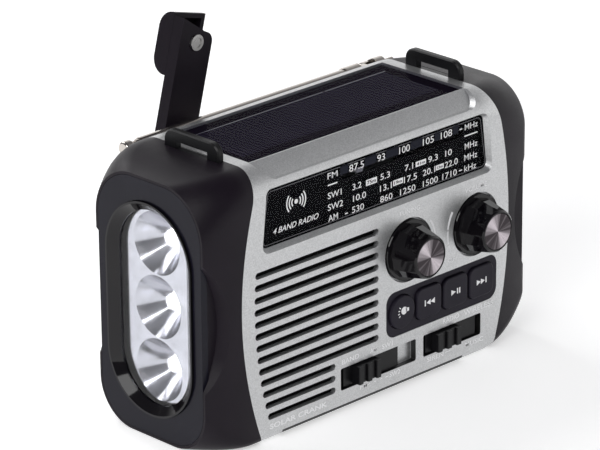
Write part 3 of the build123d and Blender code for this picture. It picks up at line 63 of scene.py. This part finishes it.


# ---------------------------------------------------------------- materials
class Surface:
    """One procedural material, built node by node round a Principled shader."""

    def __init__(self, name, colour, roughness, **sockets):
        self.material = bpy.data.materials.new(name)
        self.material.use_nodes = True
        self.tree = self.material.node_tree
        self.shader = self.tree.nodes["Principled BSDF"]
        self.set("Base Color", (*colour, 1.0))
        self.set("Roughness", roughness)
        for socket, value in sockets.items():
            self.set(socket.replace("_", " "), value)
        self.place = self.add("ShaderNodeTexCoord").outputs["Object"]
        self.bump_from = None

    def set(self, socket, value):
        self.shader.inputs[socket].default_value = value

    def add(self, kind, **settings):
        node = self.tree.nodes.new(kind)
        for name, value in settings.items():
            setattr(node, name, value)
        return node

    def link(self, source, target):
        self.tree.links.new(source, target)

    def noise(self, scale, detail=2.0):
        """Noise from 0 to 1, with scale in features per metre."""
        texture = self.add("ShaderNodeTexNoise")
        texture.inputs["Scale"].default_value = scale
        texture.inputs["Detail"].default_value = detail
        self.link(self.place, texture.inputs["Vector"])
        return texture.outputs["Fac"]

    def cells(self, scale):
        """A random value for each small cell, with scale in cells per metre."""
        texture = self.add("ShaderNodeTexVoronoi")
        texture.inputs["Scale"].default_value = scale
        self.link(self.place, texture.inputs["Vector"])
        separate = self.add("ShaderNodeSeparateColor")
        self.link(texture.outputs["Color"], separate.inputs["Color"])
        return separate.outputs["Red"]

    def spread(self, source, low, high, at=(0.3, 0.7)):
        """Stretch a 0 to 1 value over a new range."""
        node = self.add("ShaderNodeMapRange")
        node.inputs["From Min"].default_value = at[0]
        node.inputs["From Max"].default_value = at[1]
        node.inputs["To Min"].default_value = low
        node.inputs["To Max"].default_value = high
        self.link(source, node.inputs["Value"])
        return node.outputs["Result"]

    def blend(self, share, first, second):
        """Mix two colours, each a tuple or a socket."""
        node = self.add("ShaderNodeMix", data_type="RGBA")
        self.link(share, node.inputs["Factor"])
        for socket, colour in ((node.inputs[6], first), (node.inputs[7], second)):
            if isinstance(colour, tuple):
                socket.default_value = (*colour, 1.0)
            else:
                self.link(colour, socket)
        return node.outputs[2]

    def colours(self, share, first, second):
        """Vary the base colour between two tones."""
        self.link(self.blend(share, first, second), self.shader.inputs["Base Color"])

    def bump(self, height, distance, strength=1.0):
        """Fine relief of a real depth in metres."""
        node = self.add("ShaderNodeBump")
        node.inputs["Strength"].default_value = strength
        node.inputs["Distance"].default_value = distance
        self.link(height, node.inputs["Height"])
        if self.bump_from is not None:
            self.link(self.bump_from, node.inputs["Normal"])
        self.bump_from = node.outputs["Normal"]
        self.link(self.bump_from, self.shader.inputs["Normal"])

    def axis(self, name):
        """One coordinate of the place, in metres."""
        node = self.add("ShaderNodeSeparateXYZ")
        self.link(self.place, node.inputs["Vector"])
        return node.outputs[name]

    def math(self, operation, first, second=0.0):
        node = self.add("ShaderNodeMath", operation=operation)
        for socket, value in zip(node.inputs, (first, second)):
            if isinstance(value, (int, float)):
                socket.default_value = value
            else:
                self.link(value, socket)
        return node.outputs["Value"]

    def inside(self, source, low, high):
        """1 where the value is between the limits."""
        above = self.math("GREATER_THAN", source, low)
        below = self.math("LESS_THAN", source, high)
        return self.math("MULTIPLY", above, below)


def plastic(name, dark, light, roughness, grain=5000.0, depth=0.00002, shine=0.25, **sockets):
    """Moulded plastic with fine grain and a little unevenness."""
    s = Surface(name, dark, roughness, Specular_IOR_Level=shine, **sockets)
    s.colours(s.spread(s.noise(60.0, 3.0), 0.0, 1.0), dark, light)
    rough = s.spread(s.noise(90.0, 3.0), roughness * 0.88, roughness * 1.12)
    s.link(rough, s.shader.inputs["Roughness"])
    s.bump(s.noise(grain, 2.0), depth)
    return s


def metal(name, colour, roughness, grain=3000.0, depth=0.000004):
    """Plain metal with a fine surface."""
    s = Surface(name, colour, roughness, Metallic=1.0)
    darker = tuple(0.85 * c for c in colour)
    s.colours(s.spread(s.noise(150.0, 3.0), 0.0, 1.0), darker, colour)
    rough = s.spread(s.noise(400.0, 2.0), roughness * 0.8, roughness * 1.25)
    s.link(rough, s.shader.inputs["Roughness"])
    s.bump(s.noise(grain, 2.0), depth)
    return s


def clear(name, tint, mirror=0.04, edge=0.7, roughness=0.03):
    """Thin clear plastic: what is behind it shows, under a mirror of the room."""
    s = Surface(name, tint, roughness)
    through = s.add("ShaderNodeBsdfTransparent")
    through.inputs["Color"].default_value = (*tint, 1.0)
    gloss = s.add("ShaderNodeBsdfGlossy")
    gloss.inputs["Roughness"].default_value = roughness
    facing = s.add("ShaderNodeLayerWeight").outputs["Facing"]
    grazing = s.math("MULTIPLY", s.math("POWER", facing, 4.5), edge)
    join = s.add("ShaderNodeMixShader")
    s.link(s.math("ADD", grazing, mirror), join.inputs["Fac"])
    s.link(through.outputs[0], join.inputs[1])
    s.link(gloss.outputs[0], join.inputs[2])
    s.link(join.outputs[0], s.tree.nodes["Material Output"].inputs["Surface"])
    return s


def silver_paint():
    """Satin silver paint with fine flakes, with painted shade: the switch windows' walls and the shells'
    inner faces on the speaker side are near-black.
    """
    s = Surface("silver_paint", (0.36, 0.36, 0.37), 0.36, Metallic=0.8, Specular_IOR_Level=0.4)
    flakes = s.cells(3400.0)
    tone = s.blend(s.spread(flakes, 0.0, 1.0, (0, 1)), (0.47, 0.475, 0.48), (0.62, 0.625, 0.63))
    x, y, z = s.axis("X"), s.axis("Y"), s.axis("Z")
    # painted shade: faces set back from the front in the switch row, and the inner faces behind the
    # speaker, go near-black and not metallic; the right-hand mask has no depth limit, so it darkens that
    # patch of the back shell too
    sunk = s.math("GREATER_THAN", y, FACE_Y + 0.15 * MM)
    in_row = s.inside(z, 8.5 * MM, 17.8 * MM)
    left = s.math("MULTIPLY", s.inside(x, -21.7 * MM, 19.2 * MM), s.math("LESS_THAN", y, WINDOW_FLOOR_Y))
    right = s.inside(x, 22.8 * MM, 55.2 * MM)
    across = s.math("ADD", left, right)
    dark = s.math("MULTIPLY", s.math("MULTIPLY", sunk, in_row), across)
    hidden = s.inside(y, -SHELL_INNER_Y, SHELL_INNER_Y)
    speaker = s.math("MULTIPLY", hidden, s.math("LESS_THAN", x, 0.0))
    dark = s.math("MAXIMUM", dark, s.math("MULTIPLY", speaker, s.inside(z, 5 * MM, 70 * MM)))
    s.link(s.blend(dark, tone, (0.01, 0.01, 0.01)), s.shader.inputs["Base Color"])
    s.link(s.math("MULTIPLY", s.math("SUBTRACT", 1.0, dark), 0.8), s.shader.inputs["Metallic"])
    s.link(s.spread(s.noise(80.0, 2.0), 0.30, 0.36), s.shader.inputs["Roughness"])
    s.bump(flakes, 0.000008)
    return s


def spun_disc_painted_highlight(name, centre):
    """Turned metal with a painted bow-tie highlight: the base colour goes light and dark by the angle
    round the disc's centre.
    """
    s = metal(name, (0.30, 0.28, 0.30), 0.3)
    across = s.math("SUBTRACT", s.axis("X"), centre.x)
    along = s.math("SUBTRACT", s.axis("Z"), centre.z)
    angle = s.math("ARCTAN2", along, across)
    turned = s.math("ADD", s.math("MULTIPLY", angle, 2.0), PAINTED_DISC_HIGHLIGHT)
    bow = s.math("POWER", s.math("ADD", s.math("MULTIPLY", s.math("COSINE", turned), 0.5), 0.5), 3.0)
    fine = s.math("ADD", s.math("MULTIPLY", s.math("SINE", s.math("MULTIPLY", angle, 9.0)), 0.10), bow)
    fine = s.math("ADD", s.math("MULTIPLY", s.math("SINE", s.math("MULTIPLY", angle, 23.0)), 0.06), fine)
    share = s.math("MAXIMUM", s.math("MINIMUM", fine, 1.0), 0.0)
    # painted highlight: the bow tie and its fine streaks are set into the base colour, from dark to light
    s.colours(share, (0.045, 0.038, 0.042), (0.55, 0.50, 0.53))
    return s


# Each material's two tones, then roughness, grain per metre, its depth in metres, and shine.
MATERIALS = {
    "silver_case": silver_paint(),
    "soft_black": plastic(
        "soft_black", (0.0072, 0.0048, 0.0085), (0.0105, 0.0072, 0.012), 0.40, 7000.0, 0.00002, 0.16
    ),
    "satin_black": plastic("satin_black", (0.005, 0.005, 0.006), (0.008, 0.008, 0.009), 0.32, shine=0.22),
    "bezel_black": plastic(
        "bezel_black", (0.0055, 0.005, 0.0105), (0.0075, 0.007, 0.0135), 0.24, 6000.0, 0.00001, 0.16
    ),
    "gloss_black": plastic(
        "gloss_black", (0.004, 0.0035, 0.005), (0.006, 0.005, 0.006), 0.07, 400.0, 0.000003, 0.32
    ),
    "clear": clear("clear", (0.97, 0.975, 0.99), 0.035),
    "clear_cover": clear("clear_cover", (0.92, 0.92, 0.95), 0.003, 0.05),
    "chrome": metal("chrome", (0.74, 0.74, 0.77), 0.16, 900.0, 0.000002),
    "led": plastic(
        "led", (0.9, 0.9, 0.88), (0.95, 0.95, 0.93), 0.2, 2000.0, 0.000002,
        Emission_Color=(1, 0.99, 0.98, 1), Emission_Strength=3.5,
    ),
    "solar": plastic("solar", (0.0085, 0.0065, 0.011), (0.011, 0.0085, 0.014), 0.3, shine=0.0),
    "dial_black": plastic(
        "dial_black", (0.0015, 0.0015, 0.002), (0.0025, 0.0025, 0.003), 0.5, 4000.0, 0.0000005, 0.03
    ),
    "pointer": plastic("pointer", (0.16, 0.16, 0.165), (0.20, 0.20, 0.205), 0.3),
    "cord": plastic("cord", (0.35, 0.33, 0.3), (0.45, 0.42, 0.38), 0.7),
    "steel": metal("steel", (0.52, 0.51, 0.50), 0.3),
    "paper": plastic("paper", (0.02, 0.02, 0.02), (0.03, 0.03, 0.03), 0.85),
    "ferrite": plastic("ferrite", (0.03, 0.03, 0.032), (0.04, 0.04, 0.042), 0.5),
    "spun_metal": spun_disc_painted_highlight("spun_metal", TUNING),
    "nylon": plastic("nylon", (0.62, 0.60, 0.54), (0.68, 0.66, 0.60), 0.4),
    "key_rubber": plastic("key_rubber", (0.011, 0.009, 0.016), (0.015, 0.0125, 0.021), 0.5, shine=0.16),
    "rubber": plastic("rubber", (0.008, 0.008, 0.009), (0.011, 0.011, 0.012), 0.7, shine=0.2),
    "board": plastic("board", (0.01, 0.09, 0.03), (0.015, 0.11, 0.04), 0.35),
    "battery_wrap": plastic("battery_wrap", (0.02, 0.10, 0.25), (0.03, 0.12, 0.28), 0.3),
    "brass": metal("brass", (0.62, 0.45, 0.2), 0.3),
    "antenna_chrome": metal("antenna_chrome", (0.62, 0.58, 0.54), 0.14, 900.0, 0.000002),
    "white_print": plastic("white_print", (0.80, 0.80, 0.81), (0.86, 0.86, 0.87), 0.4),
    # painted highlight: the grey of the light line along the dial's edge
    "painted_highlight_grey": plastic("painted_highlight_grey", (0.10, 0.10, 0.11), (0.13, 0.13, 0.14), 0.3),
    "black_print": plastic("black_print", (0.006, 0.006, 0.007), (0.009, 0.009, 0.01), 0.4),
    "navy_print": plastic("navy_print", (0.0035, 0.0045, 0.012), (0.0045, 0.006, 0.015), 0.3, shine=0.1),
    "bus_line": metal("bus_line", (0.30, 0.30, 0.34), 0.4),
    "solar_stripe": plastic("solar_stripe", (0.022, 0.019, 0.032), (0.028, 0.024, 0.040), 0.3, shine=0.0),
    # painted shade: the near-black sheet behind the speaker slots
    "painted_shade_sheet": plastic(
        "painted_shade_sheet", (0.002, 0.002, 0.002), (0.004, 0.004, 0.004), 0.9, 3000.0, shine=0.05
    ),
}
OWN_MATERIALS = {"volume_knob_disc": spun_disc_painted_highlight("spun_metal_volume", VOLUME)}


def dress_nodes():
    """Give every CAD node its slot's material."""
    slot_of = {}
    for row in frame["record"]["materials"]:
        for node in row.get("nodes", []):
            slot_of[node] = row["slot"]
    for name, obj in frame["nodes"].items():
        slot = slot_of.get(name) or obj.material_slots[0].name.split(".")[0]
        for place in obj.material_slots:
            place.material = OWN_MATERIALS.get(name, MATERIALS[slot]).material


dress_nodes()


# ---------------------------------------------------------------- printed pieces, with a painted highlight line and a painted shade sheet
PRINT_T = 0.03 * MM


class Print:
    """Thin raised print on a plane that faces -Y, in one mesh; sizes are in millimetres."""

    def __init__(self, name, plane_y, slot, body="case"):
        self.name, self.plane_y, self.slot, self.body = name, plane_y, slot, body
        self.shape = bmesh.new()

    def put(self, points, thick=PRINT_T):
        """A flat polygon from (x, z) points, thickened towards -Y."""
        front = [self.shape.verts.new((x * MM, self.plane_y - thick, z * MM)) for x, z in points]
        back = [self.shape.verts.new((x * MM, self.plane_y, z * MM)) for x, z in points]
        self.shape.faces.new(front)
        self.shape.faces.new(back[::-1])
        for i in range(len(points)):
            j = (i + 1) % len(points)
            self.shape.faces.new((front[j], front[i], back[i], back[j]))

    def bar(self, left, right, bottom, top):
        self.put([(left, bottom), (right, bottom), (right, top), (left, top)])

    def arc(self, centre, radius, start, end, width, end_width=None, steps=24):
        """An arc whose width changes evenly from one end to the other."""
        end_width = width if end_width is None else end_width
        outer, inner = [], []
        for i in range(steps + 1):
            share = i / steps
            angle = math.radians(start + (end - start) * share)
            half = (width + (end_width - width) * share) / 2
            way = (math.cos(angle), math.sin(angle))
            outer.append(tuple(c + (radius + half) * w for c, w in zip(centre, way)))
            inner.append(tuple(c + (radius - half) * w for c, w in zip(centre, way)))
        for i in range(steps):
            self.put([inner[i], outer[i], outer[i + 1], inner[i + 1]])

    def dot(self, centre, radius, steps=28):
        turns = [2 * math.pi * i / steps for i in range(steps)]
        self.put([(centre[0] + radius * math.cos(t), centre[1] + radius * math.sin(t)) for t in turns])

    def text(self, words, left, right, base, height, weight=0.0, slant=0.0):
        """Lettering stretched to its printed limits."""
        curve = bpy.data.curves.new(words, "FONT")
        curve.body = words
        curve.extrude = 0.5
        curve.offset = weight
        curve.shear = slant
        curve.resolution_u = 4
        obj = bpy.data.objects.new(words, curve)
        bpy.context.scene.collection.objects.link(obj)
        ready = obj.evaluated_get(bpy.context.evaluated_depsgraph_get())
        letters = ready.to_mesh()
        xs = [v.co.x for v in letters.vertices]
        ys = [v.co.y for v in letters.vertices]
        wide = (right - left) / (max(xs) - min(xs))
        tall = height / (max(ys) - min(ys))
        points = []
        for v in letters.vertices:
            x = left + (v.co.x - min(xs)) * wide
            z = base + (v.co.y - min(ys)) * tall
            depth = self.plane_y - (v.co.z + 0.5) * PRINT_T
            points.append(self.shape.verts.new((x * MM, depth, z * MM)))
        for face in letters.polygons:
            corners = [points[i] for i in face.vertices]
            if len(set(corners)) == len(corners):
                try:
                    self.shape.faces.new(corners)
                except ValueError:
                    continue
        ready.to_mesh_clear()
        bpy.data.objects.remove(obj)
        bpy.data.curves.remove(curve)

    def done(self):
        mesh = bpy.data.meshes.new(self.name)
        self.shape.to_mesh(mesh)
        self.shape.free()
        obj = bpy.data.objects.new(self.name, mesh)
        bpy.context.scene.collection.objects.link(obj)
        mesh.materials.append(MATERIALS[self.slot].material)
        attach(obj, self.body)


def dial_print():
    """The frequency rows on the dial window."""
    white = Print("dial_numbers", DIAL_Y, "white_print")
    rows = (
        (93.5, 2.75, (
            ("87.5", -14.4, -6.75), ("93", 0.27, 4.34), ("100", 11.94, 17.65),
            ("105", 24.65, 30.6), ("108", 34.4, 40.57),
        )),
        (93.7, 2.33, (("FM", -25.68, -20.5), ("MHz", 47.55, 54.73))),
        (85.9, 2.45, (
            ("SW1", -25.6, -18.5), ("3.2", -12.77, -8.05), ("5.3", 1.95, 6.99), ("7.1", 15.0, 19.4),
            ("9.3", 27.67, 32.8), ("10", 36.9, 40.5), ("MHz", 47.6, 54.6),
        )),
        (81.3, 2.5, (
            ("SW2", -25.6, -17.75), ("10.0", -12.5, -5.7), ("13.1", 1.7, 7.95), ("17.5", 14.5, 21.5),
            ("20.1", 24.7, 31.4), ("22.0", 36.7, 43.8), ("MHz", 47.4, 54.6),
        )),
        (76.95, 2.5, (
            ("AM", -25.4, -20.4), ("530", -13.07, -6.8), ("860", 1.84, 8.34), ("1250", 12.45, 20.7),
            ("1500", 24.75, 32.9), ("1710", 35.4, 43.3), ("kHz", 47.5, 54.1),
        )),
    )
    for base, height, words in rows:
        for word, left, right in words:
            white.text(word, left, right, base, height, 0.002)
    dashes = (
        (-25.55, -20.64, 91.3),
        (47.4, 54.6, 91.35),
        (44.7, 46.1, 94.75),
        (-16.7, -15.3, 77.8),
        (44.6, 46.2, 78.2),
    )
    for left, right, z in dashes:
        white.bar(left, right, z - 0.25, z + 0.25)
    blocks = (
        ("75m", -5.7, 0.1, 85.65, 88.0),
        ("41m", 20.8, 26.4, 86.0, 88.1),
        ("19m", 8.7, 13.95, 81.7, 83.9),
        ("13m", 31.8, 36.1, 81.7, 83.7),
    )
    black = Print("dial_band_names", DIAL_Y - PRINT_T, "black_print")
    for word, left, right, bottom, top in blocks:
        white.bar(left, right, bottom, top)
        black.text(word, left + 0.6, right - 0.6, bottom + 0.45, top - bottom - 0.9, 0.02)
    white.text("4 BAND RADIO", -53.6, -30.4, 79.9, 2.2, 0.006, 0.3)
    emblem = (-41.8, 89.65)
    white.dot(emblem, 0.9)
    for radius in (2.2, 3.5, 4.8):
        white.arc(emblem, radius, -40, 40, 0.55)
        white.arc(emblem, radius, 140, 220, 0.55)
    white.done()
    black.done()
    tint = Print("dial_tint", DIAL_Y, "navy_print")
    gaps = ((-19.2, -14.9), (-6.2, -0.3), (4.9, 11.4), (18.2, 24.1), (31.1, 33.9), (41.1, 44.0))
    for left, right in gaps:
        tint.bar(left, right, 93.6, 97.2)
    tint.done()


def painted_dial_highlight():
    """A painted highlight: the thin light line just inside the dial's edge, which narrows towards the
    top, is a flat grey strip for the shine along that edge.
    """
    painted_line = Print("painted_dial_highlight", DIAL_Y, "painted_highlight_grey")
    corner, inset, width = 2.0, 0.75, 0.28
    dial_bottom, dial_top = 75.8, 97.8
    dial_half_bottom, dial_half_top = 59.8, 57.2
    low, high = dial_bottom + inset, dial_top - inset
    wide, narrow = dial_half_bottom - inset, dial_half_top - inset
    path = []
    for centre, start in (
        ((wide - corner, low + corner), -90),
        ((narrow - corner, high - corner), 0),
        ((-narrow + corner, high - corner), 90),
        ((-wide + corner, low + corner), 180),
    ):
        for step in range(9):
            angle = math.radians(start + 90 * step / 8)
            way = (math.cos(angle), math.sin(angle))
            path.append((
                (centre[0] + corner * way[0], centre[1] + corner * way[1]),
                (centre[0] + (corner - width) * way[0], centre[1] + (corner - width) * way[1]),
            ))
    for i, (outer, inner) in enumerate(path):
        next_outer, next_inner = path[(i + 1) % len(path)]
        painted_line.put([inner, outer, next_outer, next_inner])
    painted_line.done()


def face_labels():
    """The white labels and marks on the silver face."""
    ink = Print("face_labels", FACE_Y, "white_print")
    thin, bold = 0.003, 0.023
    for word, left, right, base, height, weight in (
        ("TUNING", 9.62, 20.95, 69.85, 1.8, thin),
        ("VOLUME", 45.6, 57.9, 69.3, 1.95, thin),
        ("OFF", 36.25, 42.0, 43.7, 1.6, thin),
        ("BAND", -20.84, -11.8, 19.15, 1.95, thin),
        ("AM", -5.93, -2.17, 19.1, 1.75, thin),
        ("SW1", 0.52, 6.2, 18.9, 1.9, thin),
        ("FM", -11.3, -7.3, 6.0, 2.0, thin),
        ("SW2", 4.6, 10.3, 6.1, 1.85, thin),
        ("RADIO", 33.9, 42.85, 19.2, 1.95, thin),
        ("WIRELESS", 45.65, 62.07, 19.0, 2.0, thin),
        ("SIREN", 25.14, 34.2, 5.85, 1.85, thin),
        ("MUSIC", 46.37, 56.57, 5.55, 1.9, thin),
        ("SOLAR CRANK", -58.5, -28.8, 4.9, 2.05, bold),
    ):
        ink.text(word, left, right, base, height, weight)
    for left, right in ((-7.0, -5.95), (-3.8, -2.7), (-0.56, 0.52), (2.4, 4.0), (35.2, 37.9)):
        ink.bar(left, right, 6.75, 7.1)
    knob = (VOLUME.x / MM, VOLUME.z / MM)
    ink.arc(knob, 15.8, 147.0, 172.6, 1.2, 0.8)
    ink.arc(knob, 15.8, 175.1, 194.4, 0.8)
    ink.arc(knob, 15.8, 196.8, 212.7, 0.7, 0.4)
    ink.arc((TUNING.x / MM, TUNING.z / MM), 14.5, 37.0, -37.0, 0.9, 0.35, 40)
    ink.done()


def key_icons():
    """White symbols on the four keys."""
    bulb = Print("lamp_icon", KEY_Y, "white_print", "lamp_key")
    bulb.dot((11.5, 31.7), 1.55)
    bulb.put([(12.5, 30.9), (14.1, 31.0), (14.1, 32.4), (12.5, 32.5)])
    for x, z, turn in ((9.31, 33.2, 145), (8.83, 32.1, 170), (8.67, 30.9, 195), (9.1, 29.8, 220)):
        along = (0.45 * math.cos(math.radians(turn)), 0.45 * math.sin(math.radians(turn)))
        over = (-along[1] * 0.45, along[0] * 0.45)
        signs = ((-1, -1), (1, -1), (1, 1), (-1, 1))
        bulb.put([(x + a * along[0] + b * over[0], z + a * along[1] + b * over[1]) for a, b in signs])
    bulb.done()
    for name, x in (("previous", 25.4), ("next", 54.4)):
        way = -1 if name == "previous" else 1
        icon = Print(name + "_icon", KEY_Y, "white_print", name + "_key")
        icon.bar(*sorted((x + way * 2.1, x + way * 2.7)), 30.0, 32.4)
        for tip in (1.75, -0.55):
            back = x + way * (tip - 2.25)
            icon.put([(x + way * tip, 31.15), (back, 32.3), (back, 30.0)][::way])
        icon.done()
    icon = Print("play_icon", KEY_Y, "white_print", "play_key")
    icon.put([(37.4, 30.0), (39.9, 31.15), (37.4, 32.3)])
    for left in (40.5, 41.7):
        icon.bar(left, left + 0.65, 30.0, 32.3)
    icon.done()


def solar_detail():
    """The cell's fine stripes and its thin collector line."""
    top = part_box("solar_cell")[1].z
    pitch, count, thick = 2.2, 47, 0.02 * MM
    stripes = [(-52.0 + pitch * i, -50.6 + pitch * i, -14.0, 15.0) for i in range(count)]
    for name, slot, bars in (
        ("solar_stripes", "solar_stripe", stripes),
        ("solar_bus_line", "bus_line", [(-52.0, 18.0, 15.25, 15.6), (19.2, 52.0, 15.25, 15.6)]),
    ):
        lines = Print(name, 0.0, slot)
        for left, right, front, back in bars:
            corners = [(left, front), (right, front), (right, back), (left, back)]
            lower = [lines.shape.verts.new((x * MM, y * MM, top)) for x, y in corners]
            upper = [lines.shape.verts.new((x * MM, y * MM, top + thick)) for x, y in corners]
            lines.shape.faces.new(upper)
            lines.shape.faces.new(lower[::-1])
            for i in range(4):
                j = (i + 1) % 4
                lines.shape.faces.new((lower[i], lower[j], upper[j], upper[i]))
        lines.done()


def painted_shade_sheet():
    """A near-black sheet behind the speaker slots, painted shade for the dark inside of the radio."""
    thick = 0.15 * MM
    shade_sheet = Print("painted_shade_sheet", SHADE_SHEET_Y, "painted_shade_sheet")
    outline = [(-66.5, 8.0), (-24.0, 8.0), (-24.0, 20.5), (-0.6, 20.5), (-0.6, 69.4), (-66.5, 69.4)]
    shade_sheet.put(outline, thick)
    shade_sheet.done()


dial_print()
painted_dial_highlight()
face_labels()
key_icons()
solar_detail()
painted_shade_sheet()


# ---------------------------------------------------------------- studio
def studio():
    """Pale floor, soft lights and the studio's sky."""
    mesh = bpy.data.meshes.new("floor")
    shape = bmesh.new()
    corners = [shape.verts.new((x, y, 0.0)) for x, y in ((-4, -4), (4, -4), (4, 4), (-4, 4))]
    shape.faces.new(corners)
    shape.to_mesh(mesh)
    floor = bpy.data.objects.new("floor", mesh)
    bpy.context.scene.collection.objects.link(floor)
    pale = Surface("floor", (0.92, 0.92, 0.92), 0.7, Emission_Color=(1, 1, 1, 1), Emission_Strength=0.45)
    mesh.materials.append(pale.material)

    world = bpy.data.worlds.new("studio")
    world.use_nodes = True
    tree = world.node_tree
    sky = tree.nodes["Background"]
    sky.inputs["Strength"].default_value = 1.0
    place = tree.nodes.new("ShaderNodeTexCoord")
    slant = tree.nodes.new("ShaderNodeVectorMath")
    slant.operation = "DOT_PRODUCT"
    slant.inputs[1].default_value = (0.55, 0.0, -0.83)
    ramp = tree.nodes.new("ShaderNodeValToRGB")
    ramp.color_ramp.elements[0].position = 0.34
    ramp.color_ramp.elements[0].color = (0.13, 0.13, 0.14, 1.0)
    ramp.color_ramp.elements[1].position = 0.56
    ramp.color_ramp.elements[1].color = (1.2, 1.2, 1.2, 1.0)
    shift = tree.nodes.new("ShaderNodeMath")
    shift.operation = "MULTIPLY_ADD"
    shift.inputs[1].default_value = 0.5
    shift.inputs[2].default_value = 0.5
    tree.links.new(place.outputs["Generated"], slant.inputs[0])
    tree.links.new(slant.outputs["Value"], shift.inputs[0])
    tree.links.new(shift.outputs["Value"], ramp.inputs["Fac"])
    tree.links.new(ramp.outputs["Color"], sky.inputs["Color"])
    bpy.context.scene.world = world

    for name, spot, size, power in (
        ("left_light", (-1.1, -0.35, 0.75), 0.8, 9.0),
        ("back_light", (-0.1, 0.95, 0.9), 0.8, 7.0),
    ):
        lamp = bpy.data.lights.new(name, "AREA")
        lamp.shape = "SQUARE"
        lamp.size = size
        lamp.energy = power
        obj = bpy.data.objects.new(name, lamp)
        obj.location = spot
        aim = Vector((0, 0, 0.05)) - obj.location
        obj.rotation_euler = aim.to_track_quat("-Z", "Y").to_euler()
        bpy.context.scene.collection.objects.link(obj)


CAMERA_PLACE = (-0.93689, -0.94655, 0.58184)
CAMERA_AZIMUTH = -44.405
CAMERA_ELEVATION = 21.384
CAMERA_ROLL = -0.497
CAMERA_LENS = 226.94


def camera():
    """The camera at the product view's angle."""
    azimuth = math.radians(CAMERA_AZIMUTH)
    elevation = math.radians(CAMERA_ELEVATION)
    roll = math.radians(CAMERA_ROLL)
    level = math.cos(elevation)
    back = Vector((math.sin(azimuth) * level, -math.cos(azimuth) * level, math.sin(elevation)))
    right = Vector((0, 0, 1)).cross(back).normalized()
    up = back.cross(right)
    right, up = (
        math.cos(roll) * right + math.sin(roll) * up,
        -math.sin(roll) * right + math.cos(roll) * up,
    )
    data = bpy.data.cameras.new("camera")
    data.lens = CAMERA_LENS
    data.sensor_width = 36.0
    data.clip_end = 20.0
    obj = bpy.data.objects.new("camera", data)
    turn = Matrix((right, up, back)).transposed().to_4x4()
    obj.matrix_world = Matrix.Translation(CAMERA_PLACE) @ turn
    bpy.context.scene.collection.objects.link(obj)
    bpy.context.scene.camera = obj


studio()
camera()
bpy.context.scene.view_settings.view_transform = "Standard"
